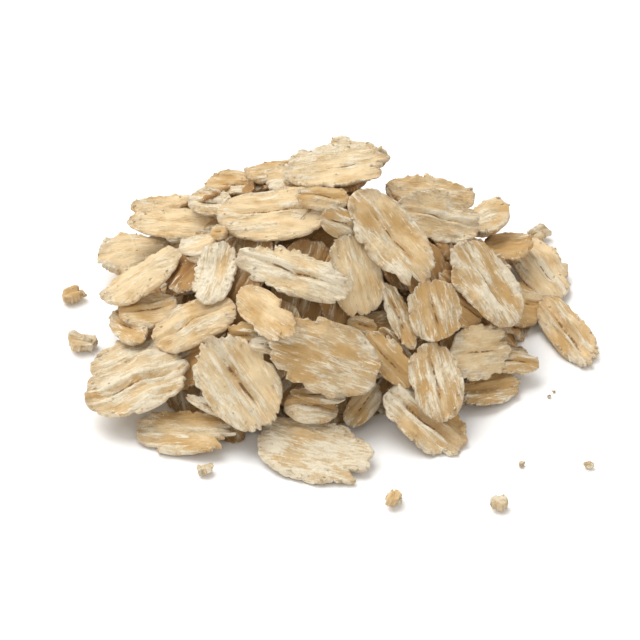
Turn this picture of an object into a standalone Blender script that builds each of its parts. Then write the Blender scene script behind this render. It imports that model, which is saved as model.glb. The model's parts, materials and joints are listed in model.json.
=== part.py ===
"""A loose heap of rolled oats, about 60 mm wide, 51 mm deep and 22 mm high, with no bowl.

It is one solid: a low mound with the flakes that show fused on at their true size. The
flakes of the front lie where the heap's picture has them, each laid on what is under it.
"""
import math

import bmesh
import bpy
import numpy as np
from mathutils import Vector

# The front view: the camera looks along +Y and down. Its picture is 640 points square.
LOOK_DOWN = math.radians(38.0)
CAMERA_DISTANCE = 420.0      # mm from the middle of the heap's base
LENS_POINTS = 3556.0         # picture points for a slope of one: a 200 mm lens
BASE_IN_PICTURE = (340.0, 328.0)

# The mound under the flakes, in mm
MOUND_HEIGHT = 17.5
MOUND_CENTRE_Y = 1.5
MOUND_RADII = {              # from its middle to its foot, by direction in degrees
    0: 21.0, 45: 18.0, 90: 17.5, 135: 21.0, 160: 25.0, 180: 24.0,
    205: 24.0, 235: 25.5, 265: 19.5, 285: 17.0, 315: 22.0,
}
MOUND_FULLNESS = 1.75        # 1 is a cone, 2 a dome
LEFT_FULLNESS = 0.25         # how much fuller the mound is on its left, and less so on its right
SLOPE_REACH = 2.0            # mm to each side of a place, over which its slope is taken
STEEPEST = 0.8               # slope that flakes are first tried at on a steep side
UNDER_COVER = (3.0, 3.0)     # how far the first flakes may spread beyond the mound, and rise above it
FOOT_COVER = (6.5, 3.0)      # and the same for those round its foot at the rear
REAR_COVER = (6.0, 3.9)      # and for those laid on them at the rear
LAST_COVER = (6.5, 6.5)      # and for the last ones, which the heap hides from the front
COVER_SLACK = 0.7            # how far an edge may stand out of that cover
MOUND_SIDES = 28
MOUND_RINGS = 6

# A rolled flake, in mm
FLAKE_HALF_THICKNESS = 0.45
FLAKE_CROWN = 0.30           # rise of its middle above its edge
FLAKE_DEPTH = 0.85           # from its middle layer down to its underside, which joins what it lies on
FLAKE_ROOT = 0.8             # how far its underside is drawn down into what carries it
ROOT_REACH = 0.8             # square of how far out on the flake, from 0 to 1, that may be
FIRM_REACH = 0.6             # the same on the flake that carries it
LEAST_SLANT = 0.3
SHOWN_SIDES = 10
HIDDEN_SIDES = 8
SIDE_JITTER = 0.22           # how far a corner strays, as a share of a side
SWELL = (0.94, 1.05)         # how far out a corner lies, over the even oval
UNDERSIDE_SHARE = 0.96       # size of a flake's underside over its upper edge
HIDDEN_LENGTHS = (8.5, 12.0)
REAR_LENGTHS = (8.5, 13.0)
FILLING_LENGTHS = (5.5, 8.5)  # of the small ones that fill gaps at the rear
BREADTH_SHARES = (0.55, 0.74)  # a hidden flake's breadth over its length
LONGEST = 14.0
BROADEST = 9.0
MOST_UPRIGHT = 0.62          # height of a hidden flake's normal
MOST_EDGE_ON = 0.55          # cosine between a shown flake's upper side and the line of sight
TURN_TO_VIEW = 1.3           # how far one beyond that is first turned back to the view
LEAST_FACING = 0.25          # the same cosine, below which no tilt is taken
LEAST_RISE = 0.1             # height of a shown flake's normal
LEAN_COST = 0.1              # mm of gap that a step of tilt is worth
SUNK_COST = 3.0              # mm of gap for each mm below the floor
LEAN_STEP = 9.0              # degrees between the tilts that are tried
FARTHEST_GAP = 4.0           # a wider gap under a flake counts no more than this
RESTING_SHARE = 0.93         # share of the ground that a falling flake stays clear of
TOUCHING_SHARE = 0.03        # share of a shown flake that may cut into what is behind it
FLOOR_HEIGHT = 0.4           # a surface lower than this is the floor, which holds no flake in the solid
FLOOR_GAP = 0.12             # the lowest flakes stay just above the mound's flat base
THINNEST_EDGE = 0.4
HEAP_SEED = 20

# The maps that the flakes are laid on
MAP_REACH = 38.0             # mm from the middle to the edge of the height map
MAP_STEP = 0.25              # mm
VIEW_STEP = 2                # picture points
VIEW_BOX = (60, 120, 620, 520)
SIGHT_REACH = 50.0           # mm before and beyond the middle that the lines of sight are followed
SIGHT_STEP = 0.3             # mm
RIM_STEP = 15                # degrees between the places on a flake's rim that are tested

UNDER_FLAKES = 120           # places tried for the flakes that the shown ones lie on
FOOT_FLAKES = 80             # places tried round the mound's foot, away from the view
FOOT_STARTS = 0.85           # share of the way out where the foot starts
REAR_STARTS = 0.4
REAR_FLAKES = 120            # places tried on the side away from the view, each of three times
HEADINGS_TRIED = 5
LEAST_BEHIND_OUTLINE = 0.9   # share of a hidden flake's edge inside the outline that the shown ones make
LEAST_BEHIND_HEAP = 0.85     # share of a last flake that the heap hides from the front
LEAST_SHOWING = 0.10         # share of a hidden flake's upper side that shows, for the solid to have it
JUST_COVERED = 0.3           # mm above its upper side where it still counts as showing
INNER_RIMS = (0.9, 0.6, 0.3)  # where on a hidden flake it is tested whether a shown one covers it
STANDS_OUT = 0.4             # mm that it may be nearer to the view than the shown one over it
MOST_IN_THE_WAY = 0.06       # share of those places where it may be nearer, or show over the floor
GOLDEN_ANGLE = math.pi * (3 - math.sqrt(5))

# Each flake that the front view shows: the two ends of its long axis and its breadth, in
# picture points, and where the crest hides what carries it, how far back its middle lies,
# in mm. They stand in the order in which they were laid, the lowest first.
SEEN = {
    "front bottom": ((257, 436), (373, 464), 68),
    "left bottom": ((134, 432), (239, 434), 46),
    "low right": ((460, 393), (519, 386), 34, -13.4),
    "dark sliver": ((187, 397), (245, 421), 14),
    "streaked behind left": ((94, 376), (164, 340), 40),
    "left fragment": ((110, 320), (148, 336), 32),
    "left half hidden": ((118, 314), (182, 306), 30),
    "far left": ((96, 256), (174, 251), 43, 9.5),
    "back left thin": ((131, 208), (208, 204), 18, 11.5),
    "under right": ((498, 300), (546, 310), 44, 2.6),
    "lone right": ((541, 300), (595, 365), 40),
    "far right": ((510, 240), (566, 294), 44, 9.8),
    "right shaded": ((484, 250), (534, 242), 30, 10.0),
    "right folded": ((470, 220), (510, 216), 34, 13.0),
    "brown edge": ((176, 292), (202, 262), 26),
    "orange piece": ((186, 258), (218, 252), 16),
    "left cream": ((178, 248), (220, 242), 16),
    "long diagonal": ((101, 300), (182, 253), 31),
    "back left tan": ((128, 222), (220, 223), 32, 6.0),
    "granular": ((189, 202), (234, 204), 28, 4.5),
    "curled": ((204, 183), (264, 186), 26, 6.5),
    "back tan": ((244, 176), (286, 172), 22, 6.0),
    "back pale": ((266, 184), (302, 178), 24, 3.5),
    "back right smooth": ((387, 186), (474, 200), 30, 5.5),
    "back right streaked": ((398, 208), (481, 226), 50, 1.5),
    "right brown scrap": ((494, 350), (528, 354), 18, -7.5),
    "right pointed": ((486, 362), (540, 366), 22),
    "front right": ((386, 388), (462, 449), 50),
    "front small": ((284, 408), (337, 409), 32),
    "front leaning": ((378, 384), (347, 427), 28, -17.4),
    "front splinter": ((290, 392), (346, 400), 14),
    "shaded fragment": ((226, 334), (274, 336), 28),
    "centre scrap": ((248, 344), (290, 347), 18),
    "centre gap": ((346, 322), (376, 330), 20),
    "left large": ((84, 402), (190, 368), 54),
    "centre left large": ((208, 337), (268, 425), 76),
    "right strip": ((378, 328), (412, 364), 18),
    "right shaded tan": ((366, 334), (412, 385), 36),
    "right notched": ((450, 356), (510, 350), 56),
    "right front tall": ((427, 341), (446, 421), 54),
    "centre large": ((268, 338), (379, 377), 78),
    "narrow ribbed": ((385, 284), (413, 348), 24),
    "brown under right": ((440, 288), (482, 322), 34),
    "wavy": ((428, 280), (442, 341), 54),
    "right long": ((458, 241), (514, 325), 52),
    "left middle": ((151, 343), (238, 305), 42),
    "floury chunk": ((224, 242), (206, 304), 44),
    "top shaded": ((296, 197), (348, 202), 22),
    "middle shaded": ((320, 214), (356, 232), 30),
    "middle upright": ((344, 234), (366, 317), 54),
    "upper right large": ((354, 194), (428, 281), 57, -5.8),
    "small smooth": ((237, 292), (293, 333), 42),
    "centre long": ((238, 253), (351, 292), 48),
    "upper left large": ((217, 221), (331, 210), 53, -2.8),
    "round grain": ((213, 234), (229, 234), 16),
    "top": ((284, 174), (391, 160), 40, 3.4),
    "top crumb": ((330, 145), (351, 146), 13, 7.8),
}
OAT_COLOUR = (0.66, 0.47, 0.27, 1.0)
OAT_ROUGHNESS = 0.8

RIGHT = np.array((1.0, 0.0, 0.0))
UP = np.array((0.0, math.sin(LOOK_DOWN), math.cos(LOOK_DOWN)))
AHEAD = np.array((0.0, math.cos(LOOK_DOWN), -math.sin(LOOK_DOWN)))
CAMERA = -CAMERA_DISTANCE * AHEAD
rng = np.random.default_rng(HEAP_SEED)


def mound_height(x, y, extra_reach=0.0, extra_height=0.0):
    """Height of the bare mound, or of a form that far outside it; 0 beyond its foot."""
    angle = np.degrees(np.arctan2(y - MOUND_CENTRE_Y, x))
    foot = np.interp(angle, list(MOUND_RADII), list(MOUND_RADII.values()), period=360) + extra_reach
    reach = np.clip(np.hypot(x, y - MOUND_CENTRE_Y) / foot, 0, 1)
    fullness = MOUND_FULLNESS - LEFT_FULLNESS * np.cos(np.radians(angle))
    return (MOUND_HEIGHT + extra_height) * (1 - reach ** fullness)


def mound_normal(x, y):
    """Outward direction of the mound at a place, upright beyond its foot."""
    slope_x = (mound_height(x + SLOPE_REACH, y) - mound_height(x - SLOPE_REACH, y)) / (2 * SLOPE_REACH)
    slope_y = (mound_height(x, y + SLOPE_REACH) - mound_height(x, y - SLOPE_REACH)) / (2 * SLOPE_REACH)
    slope = math.hypot(slope_x, slope_y)
    ease = min(1.0, STEEPEST / max(slope, 0.01))
    normal = np.array((-slope_x * ease, -slope_y * ease, 1.0))
    return normal / np.linalg.norm(normal)


def turned(vector, axis, degrees):
    """The vector turned about an axis."""
    angle = math.radians(degrees)
    axis = axis / np.linalg.norm(axis)
    return (vector * math.cos(angle) + np.cross(axis, vector) * math.sin(angle)
            + axis * np.dot(axis, vector) * (1 - math.cos(angle)))


def leanings(normal, steps):
    """Directions around a normal, and how many steps each is away from it."""
    side = np.cross(normal, UP)
    side /= np.linalg.norm(side)
    other = np.cross(normal, side)
    for i in steps:
        for j in steps:
            yield turned(turned(normal, side, i * LEAN_STEP), other, j * LEAN_STEP), math.hypot(i, j)


def sight_line(u, v):
    """Direction from the camera through a picture point."""
    across = (np.asarray(u, float) - BASE_IN_PICTURE[0]) / LENS_POINTS
    above = (BASE_IN_PICTURE[1] - np.asarray(v, float)) / LENS_POINTS
    return AHEAD + across[..., None] * RIGHT + above[..., None] * UP


def in_picture(points):
    """Picture points and depths of places in space."""
    arm = np.asarray(points) - CAMERA
    depth = arm @ AHEAD
    u = BASE_IN_PICTURE[0] + LENS_POINTS * (arm @ RIGHT) / depth
    v = BASE_IN_PICTURE[1] - LENS_POINTS * (arm @ UP) / depth
    return u, v, depth


class Flake:
    """A flake's place: its middle, half length, half breadth and upper side.

    Its root is a point in what it lies on, where that is closest under it.
    """

    def __init__(self, middle, along, across, normal):
        self.name = ""
        self.middle = middle
        self.along = along
        self.across = across
        self.normal = normal
        self.root = middle - FLAKE_DEPTH * normal

    def point(self, x, y, z):
        """A place on the flake, from -1 to 1 along and across it, and in mm above it."""
        return (self.middle + np.multiply.outer(x, self.along)
                + np.multiply.outer(y, self.across) + np.multiply.outer(z, self.normal))

    def shows_in(self, ground):
        """Whether enough of the flake shows from above to be worth a place in the solid."""
        window, on_x, on_y, inside = ground.under(self.middle, self.along, self.across)
        top = self.middle[2] + on_x * self.along[2] + on_y * self.across[2] + FLAKE_HALF_THICKNESS / self.normal[2]
        return (ground.height[window][inside] < top[inside] + JUST_COVERED).mean() > LEAST_SHOWING

    def rim(self, size=1.0):
        """Places round the flake's edge, or round a smaller form inside it."""
        angle = np.radians(np.arange(0, 360, RIM_STEP))
        return self.point(size * np.cos(angle), size * np.sin(angle), 0 * angle)


class Ground:
    """The heap's height over every place, seen from straight above."""

    def __init__(self):
        self.side = np.arange(-MAP_REACH, MAP_REACH, MAP_STEP)
        self.x, self.y = np.meshgrid(self.side, self.side)
        self.height = mound_height(self.x, self.y)
        self.mound = np.where(self.height > FLOOR_HEIGHT, self.height, np.nan)
        self.firm = self.mound.copy()

    def under(self, middle, along, across):
        """The map's window over a flake, and where each cell lies on it."""
        reach = np.abs(along[:2]) + np.abs(across[:2])
        low = np.floor((middle[:2] - reach + MAP_REACH) / MAP_STEP).astype(int)
        high = np.ceil((middle[:2] + reach + MAP_REACH) / MAP_STEP).astype(int) + 1
        low = np.clip(low, 0, len(self.side))
        high = np.clip(high, 0, len(self.side))
        window = (slice(low[1], high[1]), slice(low[0], high[0]))
        away_x = self.x[window] - middle[0]
        away_y = self.y[window] - middle[1]
        area = along[0] * across[1] - along[1] * across[0]
        on_x = (away_x * across[1] - away_y * across[0]) / area
        on_y = (away_y * along[0] - away_x * along[1]) / area
        return window, on_x, on_y, on_x**2 + on_y**2 < 1

    def lay(self, flake):
        """Finds the flake's root and raises the map to its upper side."""
        window, on_x, on_y, inside = self.under(flake.middle, flake.along, flake.across)
        level = flake.middle[2] + on_x * flake.along[2] + on_y * flake.across[2]
        height = self.height[window]
        firm = self.firm[window]
        out = on_x**2 + on_y**2
        space = np.nan_to_num(np.abs(level - FLAKE_DEPTH - firm) + out, nan=np.inf)
        space = np.where(out < ROOT_REACH, space, np.inf)
        least = np.unravel_index(np.argmin(space), space.shape)
        rooted = np.isfinite(space[least])
        if rooted:
            depth = min(firm[least], level[least] - FLAKE_DEPTH) - FLAKE_ROOT
            flake.root = np.array((self.x[window][least], self.y[window][least], depth))
        top = level + FLAKE_HALF_THICKNESS / max(flake.normal[2], LEAST_SLANT)
        covers = inside & (top > height)
        self.height[window] = np.where(covers, top, height)
        carries = covers & rooted & (out < FIRM_REACH)
        self.firm[window] = np.where(carries, top, np.where(covers, self.mound[window], firm))


def drop(ground, x, y, heading, length, breadth):
    """Lets a flake fall straight down at a place, and picks the way that it lies closest."""
    best = None
    for direction, lean in leanings(mound_normal(x, y), (0, -1, 1)):
        if direction[2] < MOST_UPRIGHT:
            continue
        along = np.array((math.cos(heading), math.sin(heading), 0.0))
        along -= direction * np.dot(along, direction)
        along /= np.linalg.norm(along)
        across = np.cross(direction, along) * breadth / 2
        along = along * length / 2
        middle = np.array((x, y, 0.0))
        window, on_x, on_y, inside = ground.under(middle, along, across)
        lift = FLAKE_HALF_THICKNESS / direction[2]
        gap = ground.height[window][inside] - on_x[inside] * along[2] - on_y[inside] * across[2]
        rest = np.quantile(gap, RESTING_SHARE) + lift
        space = (rest - lift - gap) * direction[2]
        score = np.minimum(space, FARTHEST_GAP).mean() + LEAN_COST * lean
        if best is None or score < best[0]:
            middle[2] = rest
            best = (score, Flake(middle, along, across, direction))
    return best


class View:
    """The depth of the heap's surface along each line of sight of the front view."""

    def __init__(self, ground):
        left, top, right, bottom = VIEW_BOX
        self.u, self.v = np.meshgrid(np.arange(left, right, VIEW_STEP), np.arange(top, bottom, VIEW_STEP))
        self.line = sight_line(self.u, self.v)
        self.floor = -CAMERA[2] / self.line[..., 2]
        self.depth = self.floor.copy()
        found = np.zeros(self.floor.shape, bool)
        for near in np.arange(CAMERA_DISTANCE - SIGHT_REACH, CAMERA_DISTANCE + SIGHT_REACH, SIGHT_STEP):
            place = CAMERA + near * self.line
            column = np.clip(((place[..., 0] + MAP_REACH) / MAP_STEP).astype(int), 0, len(ground.side) - 1)
            row = np.clip(((place[..., 1] + MAP_REACH) / MAP_STEP).astype(int), 0, len(ground.side) - 1)
            hit = ~found & (place[..., 2] < ground.height[row, column]) & (near < self.floor)
            self.depth[hit] = near
            found |= hit

    def window(self, end_a, end_b, breadth):
        """The picture's window over a flake, and where each point lies on it."""
        end_a = np.array(end_a, float)
        end_b = np.array(end_b, float)
        middle = (end_a + end_b) / 2
        along = (end_b - end_a) / 2
        across = np.array((along[1], -along[0])) * (breadth / 2) / np.linalg.norm(along)
        away_u = self.u - middle[0]
        away_v = self.v - middle[1]
        on_x = (away_u * along[0] + away_v * along[1]) / np.dot(along, along)
        on_y = (away_u * across[0] + away_v * across[1]) / np.dot(across, across)
        return middle, along, across, on_x, on_y, on_x**2 + on_y**2 < 1

    def lay(self, flake):
        """Brings the surface forward to the flake."""
        u, v, _ = in_picture(flake.point(np.array((0, 1, 0)), np.array((0, 0, 1)), np.zeros(3)))
        area = (u[1] - u[0]) * (v[2] - v[0]) - (v[1] - v[0]) * (u[2] - u[0])
        away_u = self.u - u[0]
        away_v = self.v - v[0]
        on_x = (away_u * (v[2] - v[0]) - away_v * (u[2] - u[0])) / area
        on_y = (away_v * (u[1] - u[0]) - away_u * (v[1] - v[0])) / area
        inside = on_x**2 + on_y**2 < 1
        facing = self.line @ flake.normal
        top = (np.dot(flake.normal, flake.middle - CAMERA) + FLAKE_HALF_THICKNESS) / facing
        self.depth = np.where(inside, np.minimum(self.depth, top), self.depth)


def lay_as_seen(view, end_a, end_b, breadth, back=None):
    """Slides a flake along the lines of sight until it lies on what is behind it.

    One whose middle has its distance back given is put there instead.
    """
    middle, along, across, on_x, on_y, inside = view.window(end_a, end_b, breadth)
    line = view.line[inside]
    middle_line = sight_line(*middle)
    surface = view.depth[inside]
    given = None if back is None else (back - CAMERA[1]) / middle_line[1]
    place = CAMERA + (given or np.median(surface)) * middle_line
    start = mound_normal(place[0], place[1])
    turned_away = max(start @ AHEAD + MOST_EDGE_ON, 0)
    start = start - TURN_TO_VIEW * turned_away * AHEAD
    start = start / np.linalg.norm(start)
    best = None
    for normal, lean in leanings(start, (0, -1, 1, -2, 2)):
        facing = line @ normal
        middle_facing = middle_line @ normal
        if facing.max() > -LEAST_FACING or normal[2] < LEAST_RISE:
            continue
        thickness = FLAKE_HALF_THICKNESS / -facing
        reach = (surface - thickness) * facing / middle_facing
        rest = given or np.quantile(reach, TOUCHING_SHARE)
        gap = surface - thickness - rest * middle_facing / facing
        centre = CAMERA + rest * middle_line

        def on_plane(point):
            direction = sight_line(*point)
            return CAMERA + direction * np.dot(normal, centre - CAMERA) / (direction @ normal)

        half_a = on_plane(middle + along) - centre
        half_b = on_plane(middle + across) - centre
        length = 2 * np.linalg.norm(half_a)
        width = 2 * np.linalg.norm(half_b)
        too_big = max(length - LONGEST, 0) + max(width - BROADEST, 0)
        skew = abs(np.dot(half_a, half_b)) / (np.linalg.norm(half_a) * np.linalg.norm(half_b))
        lowest = min(centre[2] - math.hypot(half_a[2], half_b[2]), 0)
        gap = np.abs(np.clip(gap, -FARTHEST_GAP, FARTHEST_GAP))
        score = gap.mean() + LEAN_COST * lean + too_big + skew - SUNK_COST * lowest
        if best is None or score < best[0]:
            best = (score, Flake(centre, half_a, half_b, normal))
    return best[1]


def lay_heap():
    """Lays every flake, the hidden ones first, and gives those that the solid gets.

    These are laid on the bare mound once more, so that their roots lie in one another.
    """
    ground = Ground()
    outline = View(ground)
    shown = np.zeros(outline.depth.shape, bool)
    for end_a, end_b, breadth, *_ in SEEN.values():
        shown |= outline.window(end_a, end_b, breadth)[5]
    between = [np.logical_or.accumulate(shown, axis=axis) & np.flip(
        np.logical_or.accumulate(np.flip(shown, axis), axis=axis), axis) for axis in (0, 1)]
    shown = between[0] & between[1]

    def cells(points):
        u, v, depth = in_picture(points)
        column = np.clip((u - VIEW_BOX[0]) / VIEW_STEP, 0, shown.shape[1] - 1).astype(int)
        row = np.clip((v - VIEW_BOX[1]) / VIEW_STEP, 0, shown.shape[0] - 1).astype(int)
        return row, column, depth

    def cast(count, sector, inner, cover, lengths, fits):
        """Drops flakes spread evenly over a sector of the mound and keeps those that fit."""
        kept = []
        for i in range(count):
            reach = math.sqrt(inner**2 + (1 - inner**2) * (i + 0.5) / count)
            angle = i * GOLDEN_ANGLE % sector
            foot = np.interp(math.degrees(angle), list(MOUND_RADII), list(MOUND_RADII.values()), period=360)
            x = reach * (foot + cover[0] / 2) * math.cos(angle)
            y = MOUND_CENTRE_Y + reach * (foot + cover[0] / 2) * math.sin(angle)
            length = rng.uniform(*lengths)
            breadth = length * rng.uniform(*BREADTH_SHARES)
            found = []
            for heading in rng.uniform(0, math.tau) + np.arange(HEADINGS_TRIED) * math.pi / HEADINGS_TRIED:
                score, flake = drop(ground, x, y, heading, length, breadth)
                rim = flake.rim()
                row, column, _ = cells(rim)
                in_outline = shown[row, column].mean() > LEAST_BEHIND_OUTLINE
                below_cover = rim[:, 2] < mound_height(rim[:, 0], rim[:, 1], *cover) + COVER_SLACK
                if in_outline and below_cover.all() and fits(flake):
                    found.append((score, flake))
            if found:
                flake = min(found, key=lambda f: f[0])[1]
                ground.lay(flake)
                kept.append(flake)
        return kept

    def anywhere(flake):
        return True

    hidden = cast(UNDER_FLAKES, math.tau, 0.0, UNDER_COVER, HIDDEN_LENGTHS, anywhere)
    hidden += cast(FOOT_FLAKES, math.pi, FOOT_STARTS, FOOT_COVER, HIDDEN_LENGTHS, anywhere)
    hidden += cast(REAR_FLAKES, math.pi, REAR_STARTS, REAR_COVER, REAR_LENGTHS, anywhere)
    view = View(ground)
    front = View(Ground())
    mound_depth = front.depth
    seen = []
    for name, sizes in SEEN.items():
        flake = lay_as_seen(view, *sizes)
        flake.name = name
        view.lay(flake)
        front.lay(flake)
        ground.lay(flake)
        seen.append(flake)

    def in_the_way(flake):
        row, column, depth = cells(np.concatenate([flake.rim(size) for size in INNER_RIMS]))
        surface = front.depth[row, column]
        before_shown = (surface < mound_depth[row, column]) & (depth < surface - STANDS_OUT)
        over_floor = surface == front.floor[row, column]
        return (before_shown | over_floor).mean() > MOST_IN_THE_WAY

    def behind_heap(flake):
        row, column, depth = cells(np.concatenate((flake.rim(), flake.rim(size=0.5))))
        return (front.depth[row, column] < depth).mean() > LEAST_BEHIND_HEAP

    hidden = [flake for flake in hidden if not in_the_way(flake)]
    ground = Ground()
    for flake in hidden + seen:
        ground.lay(flake)
    hidden += cast(REAR_FLAKES, math.pi, 0.0, LAST_COVER, REAR_LENGTHS, behind_heap)
    hidden += cast(REAR_FLAKES, math.pi, 0.0, LAST_COVER, FILLING_LENGTHS, behind_heap)
    showing = [flake for flake in hidden if flake.shows_in(ground)]
    ground = Ground()
    for flake in showing + seen:
        ground.lay(flake)
    return showing, seen


def mound_mesh():
    """The mound: rings of points up to a summit, closed by a flat base."""
    mesh = bmesh.new()
    rings = []
    for ring in range(MOUND_RINGS):
        reach = 1 - ring / MOUND_RINGS
        points = []
        for side in range(MOUND_SIDES):
            angle = side * math.tau / MOUND_SIDES
            foot = np.interp(math.degrees(angle), list(MOUND_RADII), list(MOUND_RADII.values()), period=360)
            x = reach * foot * math.cos(angle)
            y = MOUND_CENTRE_Y + reach * foot * math.sin(angle)
            z = float(mound_height(x, y)) if ring else 0.0
            points.append(mesh.verts.new((x, y, z)))
        rings.append(points)
    summit = mesh.verts.new((0, MOUND_CENTRE_Y, MOUND_HEIGHT))
    for lower, upper in zip(rings, rings[1:]):
        for i in range(MOUND_SIDES):
            j = (i + 1) % MOUND_SIDES
            mesh.faces.new((lower[i], lower[j], upper[j], upper[i]))
    for i in range(MOUND_SIDES):
        mesh.faces.new((rings[-1][i], rings[-1][(i + 1) % MOUND_SIDES], summit))
    mesh.faces.new(list(reversed(rings[0])))
    return mesh


def flake_mesh(flake):
    """A flake of few sides: crowned above, and deep enough below to join what it lies on."""
    mesh = bmesh.new()
    sides = SHOWN_SIDES if flake.name else HIDDEN_SIDES
    angle = (np.arange(sides) + rng.uniform(-SIDE_JITTER, SIDE_JITTER, sides)) * math.tau / sides
    swell = rng.uniform(*SWELL, sides)
    x = np.cos(angle) * swell
    y = np.sin(angle) * swell
    edge = flake.point(x, y, np.full(sides, FLAKE_HALF_THICKNESS))
    below = flake.point(UNDERSIDE_SHARE * x, UNDERSIDE_SHARE * y, np.full(sides, -FLAKE_DEPTH))
    crown = flake.point(0.0, 0.0, FLAKE_HALF_THICKNESS + FLAKE_CROWN)
    root = np.array((flake.root[0], flake.root[1], max(flake.root[2], FLOOR_GAP)))
    below[:, 2] = np.maximum(below[:, 2], FLOOR_GAP)
    edge[:, 2] = np.maximum(edge[:, 2], FLOOR_GAP + THINNEST_EDGE)
    edge = [mesh.verts.new(p) for p in edge]
    below = [mesh.verts.new(p) for p in below]
    crown = mesh.verts.new(crown)
    root = mesh.verts.new(root)
    for i in range(sides):
        j = (i + 1) % sides
        mesh.faces.new((edge[i], edge[j], crown))
        mesh.faces.new((below[j], below[i], root))
        mesh.faces.new((edge[j], edge[i], below[i]))
        mesh.faces.new((edge[j], below[i], below[j]))
    return mesh


def as_object(mesh, name, collection):
    """A closed mesh in millimetres as an object in metres."""
    bmesh.ops.scale(mesh, vec=Vector((0.001, 0.001, 0.001)), verts=mesh.verts)
    bmesh.ops.recalc_face_normals(mesh, faces=mesh.faces)
    bmesh.ops.triangulate(mesh, faces=mesh.faces)
    data = bpy.data.meshes.new(name)
    mesh.to_mesh(data)
    mesh.free()
    thing = bpy.data.objects.new(name, data)
    collection.objects.link(thing)
    return thing


def keep_largest_shell(thing):
    """Drops loose scraps and fills hollows that the union sealed."""
    mesh = bmesh.new()
    mesh.from_mesh(thing.data)
    bmesh.ops.triangulate(mesh, faces=mesh.faces)
    shells = []
    unseen = set(mesh.faces)
    while unseen:
        start = unseen.pop()
        shell = [start]
        waiting = [start]
        while waiting:
            face = waiting.pop()
            for edge in face.edges:
                for neighbour in edge.link_faces:
                    if neighbour in unseen:
                        unseen.remove(neighbour)
                        shell.append(neighbour)
                        waiting.append(neighbour)
        volume = sum(f.verts[0].co.dot(f.verts[1].co.cross(f.verts[2].co)) for f in shell) / 6
        shells.append((volume, shell))
    largest = max(shells, key=lambda s: s[0])
    loose = [face for shell in shells if shell is not largest for face in shell[1]]
    bmesh.ops.delete(mesh, geom=loose, context="FACES")
    mesh.to_mesh(thing.data)
    mesh.free()


def oat_material():
    """Dull, pale tan."""
    material = bpy.data.materials.new("oat_flake")
    material.use_nodes = True
    shader = material.node_tree.nodes["Principled BSDF"]
    shader.inputs["Base Color"].default_value = OAT_COLOUR
    shader.inputs["Roughness"].default_value = OAT_ROUGHNESS
    shader.inputs["Metallic"].default_value = 0.0
    return material


def build():
    """Joins the mound and its flakes into the one solid."""
    for thing in list(bpy.data.objects):
        bpy.data.objects.remove(thing, do_unlink=True)
    hidden, seen = lay_heap()
    scene = bpy.context.scene
    heap = as_object(mound_mesh(), "rolled_oats", scene.collection)
    flakes = bpy.data.collections.new("flakes")
    scene.collection.children.link(flakes)
    for flake in hidden + seen:
        as_object(flake_mesh(flake), "flake", flakes)
    union = heap.modifiers.new("join", "BOOLEAN")
    union.operation = "UNION"
    union.operand_type = "COLLECTION"
    union.collection = flakes
    union.solver = "EXACT"
    joined = bpy.data.meshes.new_from_object(heap.evaluated_get(bpy.context.evaluated_depsgraph_get()))
    heap.modifiers.clear()
    heap.data = joined
    for thing in list(flakes.objects):
        bpy.data.objects.remove(thing, do_unlink=True)
    bpy.data.collections.remove(flakes)
    keep_largest_shell(heap)
    heap.data.name = "rolled_oats"
    heap.data.materials.clear()
    heap.data.materials.append(oat_material())
    return hidden, seen


laid = build()
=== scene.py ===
"""Looks for a loose heap of rolled oats: its bed, every flake, the crumbs, light and camera."""

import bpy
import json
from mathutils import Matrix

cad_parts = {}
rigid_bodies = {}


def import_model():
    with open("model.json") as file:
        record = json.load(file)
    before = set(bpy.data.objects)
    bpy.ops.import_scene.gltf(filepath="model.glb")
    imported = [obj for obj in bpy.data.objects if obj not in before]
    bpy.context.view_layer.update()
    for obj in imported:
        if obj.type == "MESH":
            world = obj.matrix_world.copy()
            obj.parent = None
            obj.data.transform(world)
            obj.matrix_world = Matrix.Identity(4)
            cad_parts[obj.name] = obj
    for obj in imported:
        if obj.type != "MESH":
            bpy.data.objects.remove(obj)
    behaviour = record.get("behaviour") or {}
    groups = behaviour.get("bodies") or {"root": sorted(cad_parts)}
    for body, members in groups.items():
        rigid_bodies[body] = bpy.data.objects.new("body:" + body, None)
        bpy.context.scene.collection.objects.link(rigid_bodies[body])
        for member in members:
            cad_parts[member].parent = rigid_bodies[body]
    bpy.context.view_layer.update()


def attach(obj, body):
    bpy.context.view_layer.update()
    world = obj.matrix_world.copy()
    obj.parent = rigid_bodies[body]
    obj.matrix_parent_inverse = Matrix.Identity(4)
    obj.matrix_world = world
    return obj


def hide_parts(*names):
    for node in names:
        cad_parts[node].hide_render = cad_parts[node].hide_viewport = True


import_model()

import json
import math

import bpy
import numpy as np

# The camera: a long lens that looks down on the heap from its front. Sizes are in
# millimetres until a mesh is written, and the picture is 640 points square.
LOOK_DOWN = math.radians(38.0)
CAMERA_DISTANCE = 420.0      # mm from the middle of the heap's base
LENS_LENGTH = 200.0          # mm
SENSOR_WIDTH = 36.0          # mm
PICTURE_SIDE = 640.0         # picture points
LENS_POINTS = 3556.0         # picture points for a slope of one
BASE_IN_PICTURE = (340.0, 328.0)
NEAREST_SEEN = 0.01          # m
RIGHT = np.array((1.0, 0.0, 0.0))
UP = np.array((0.0, math.sin(LOOK_DOWN), math.cos(LOOK_DOWN)))
AHEAD = np.array((0.0, math.cos(LOOK_DOWN), -math.sin(LOOK_DOWN)))
CAMERA = -CAMERA_DISTANCE * AHEAD


def in_scene(name, data):
    """An object that holds some data, put in the scene."""
    thing = bpy.data.objects.new(name, data)
    bpy.context.scene.collection.objects.link(thing)
    return thing


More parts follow.
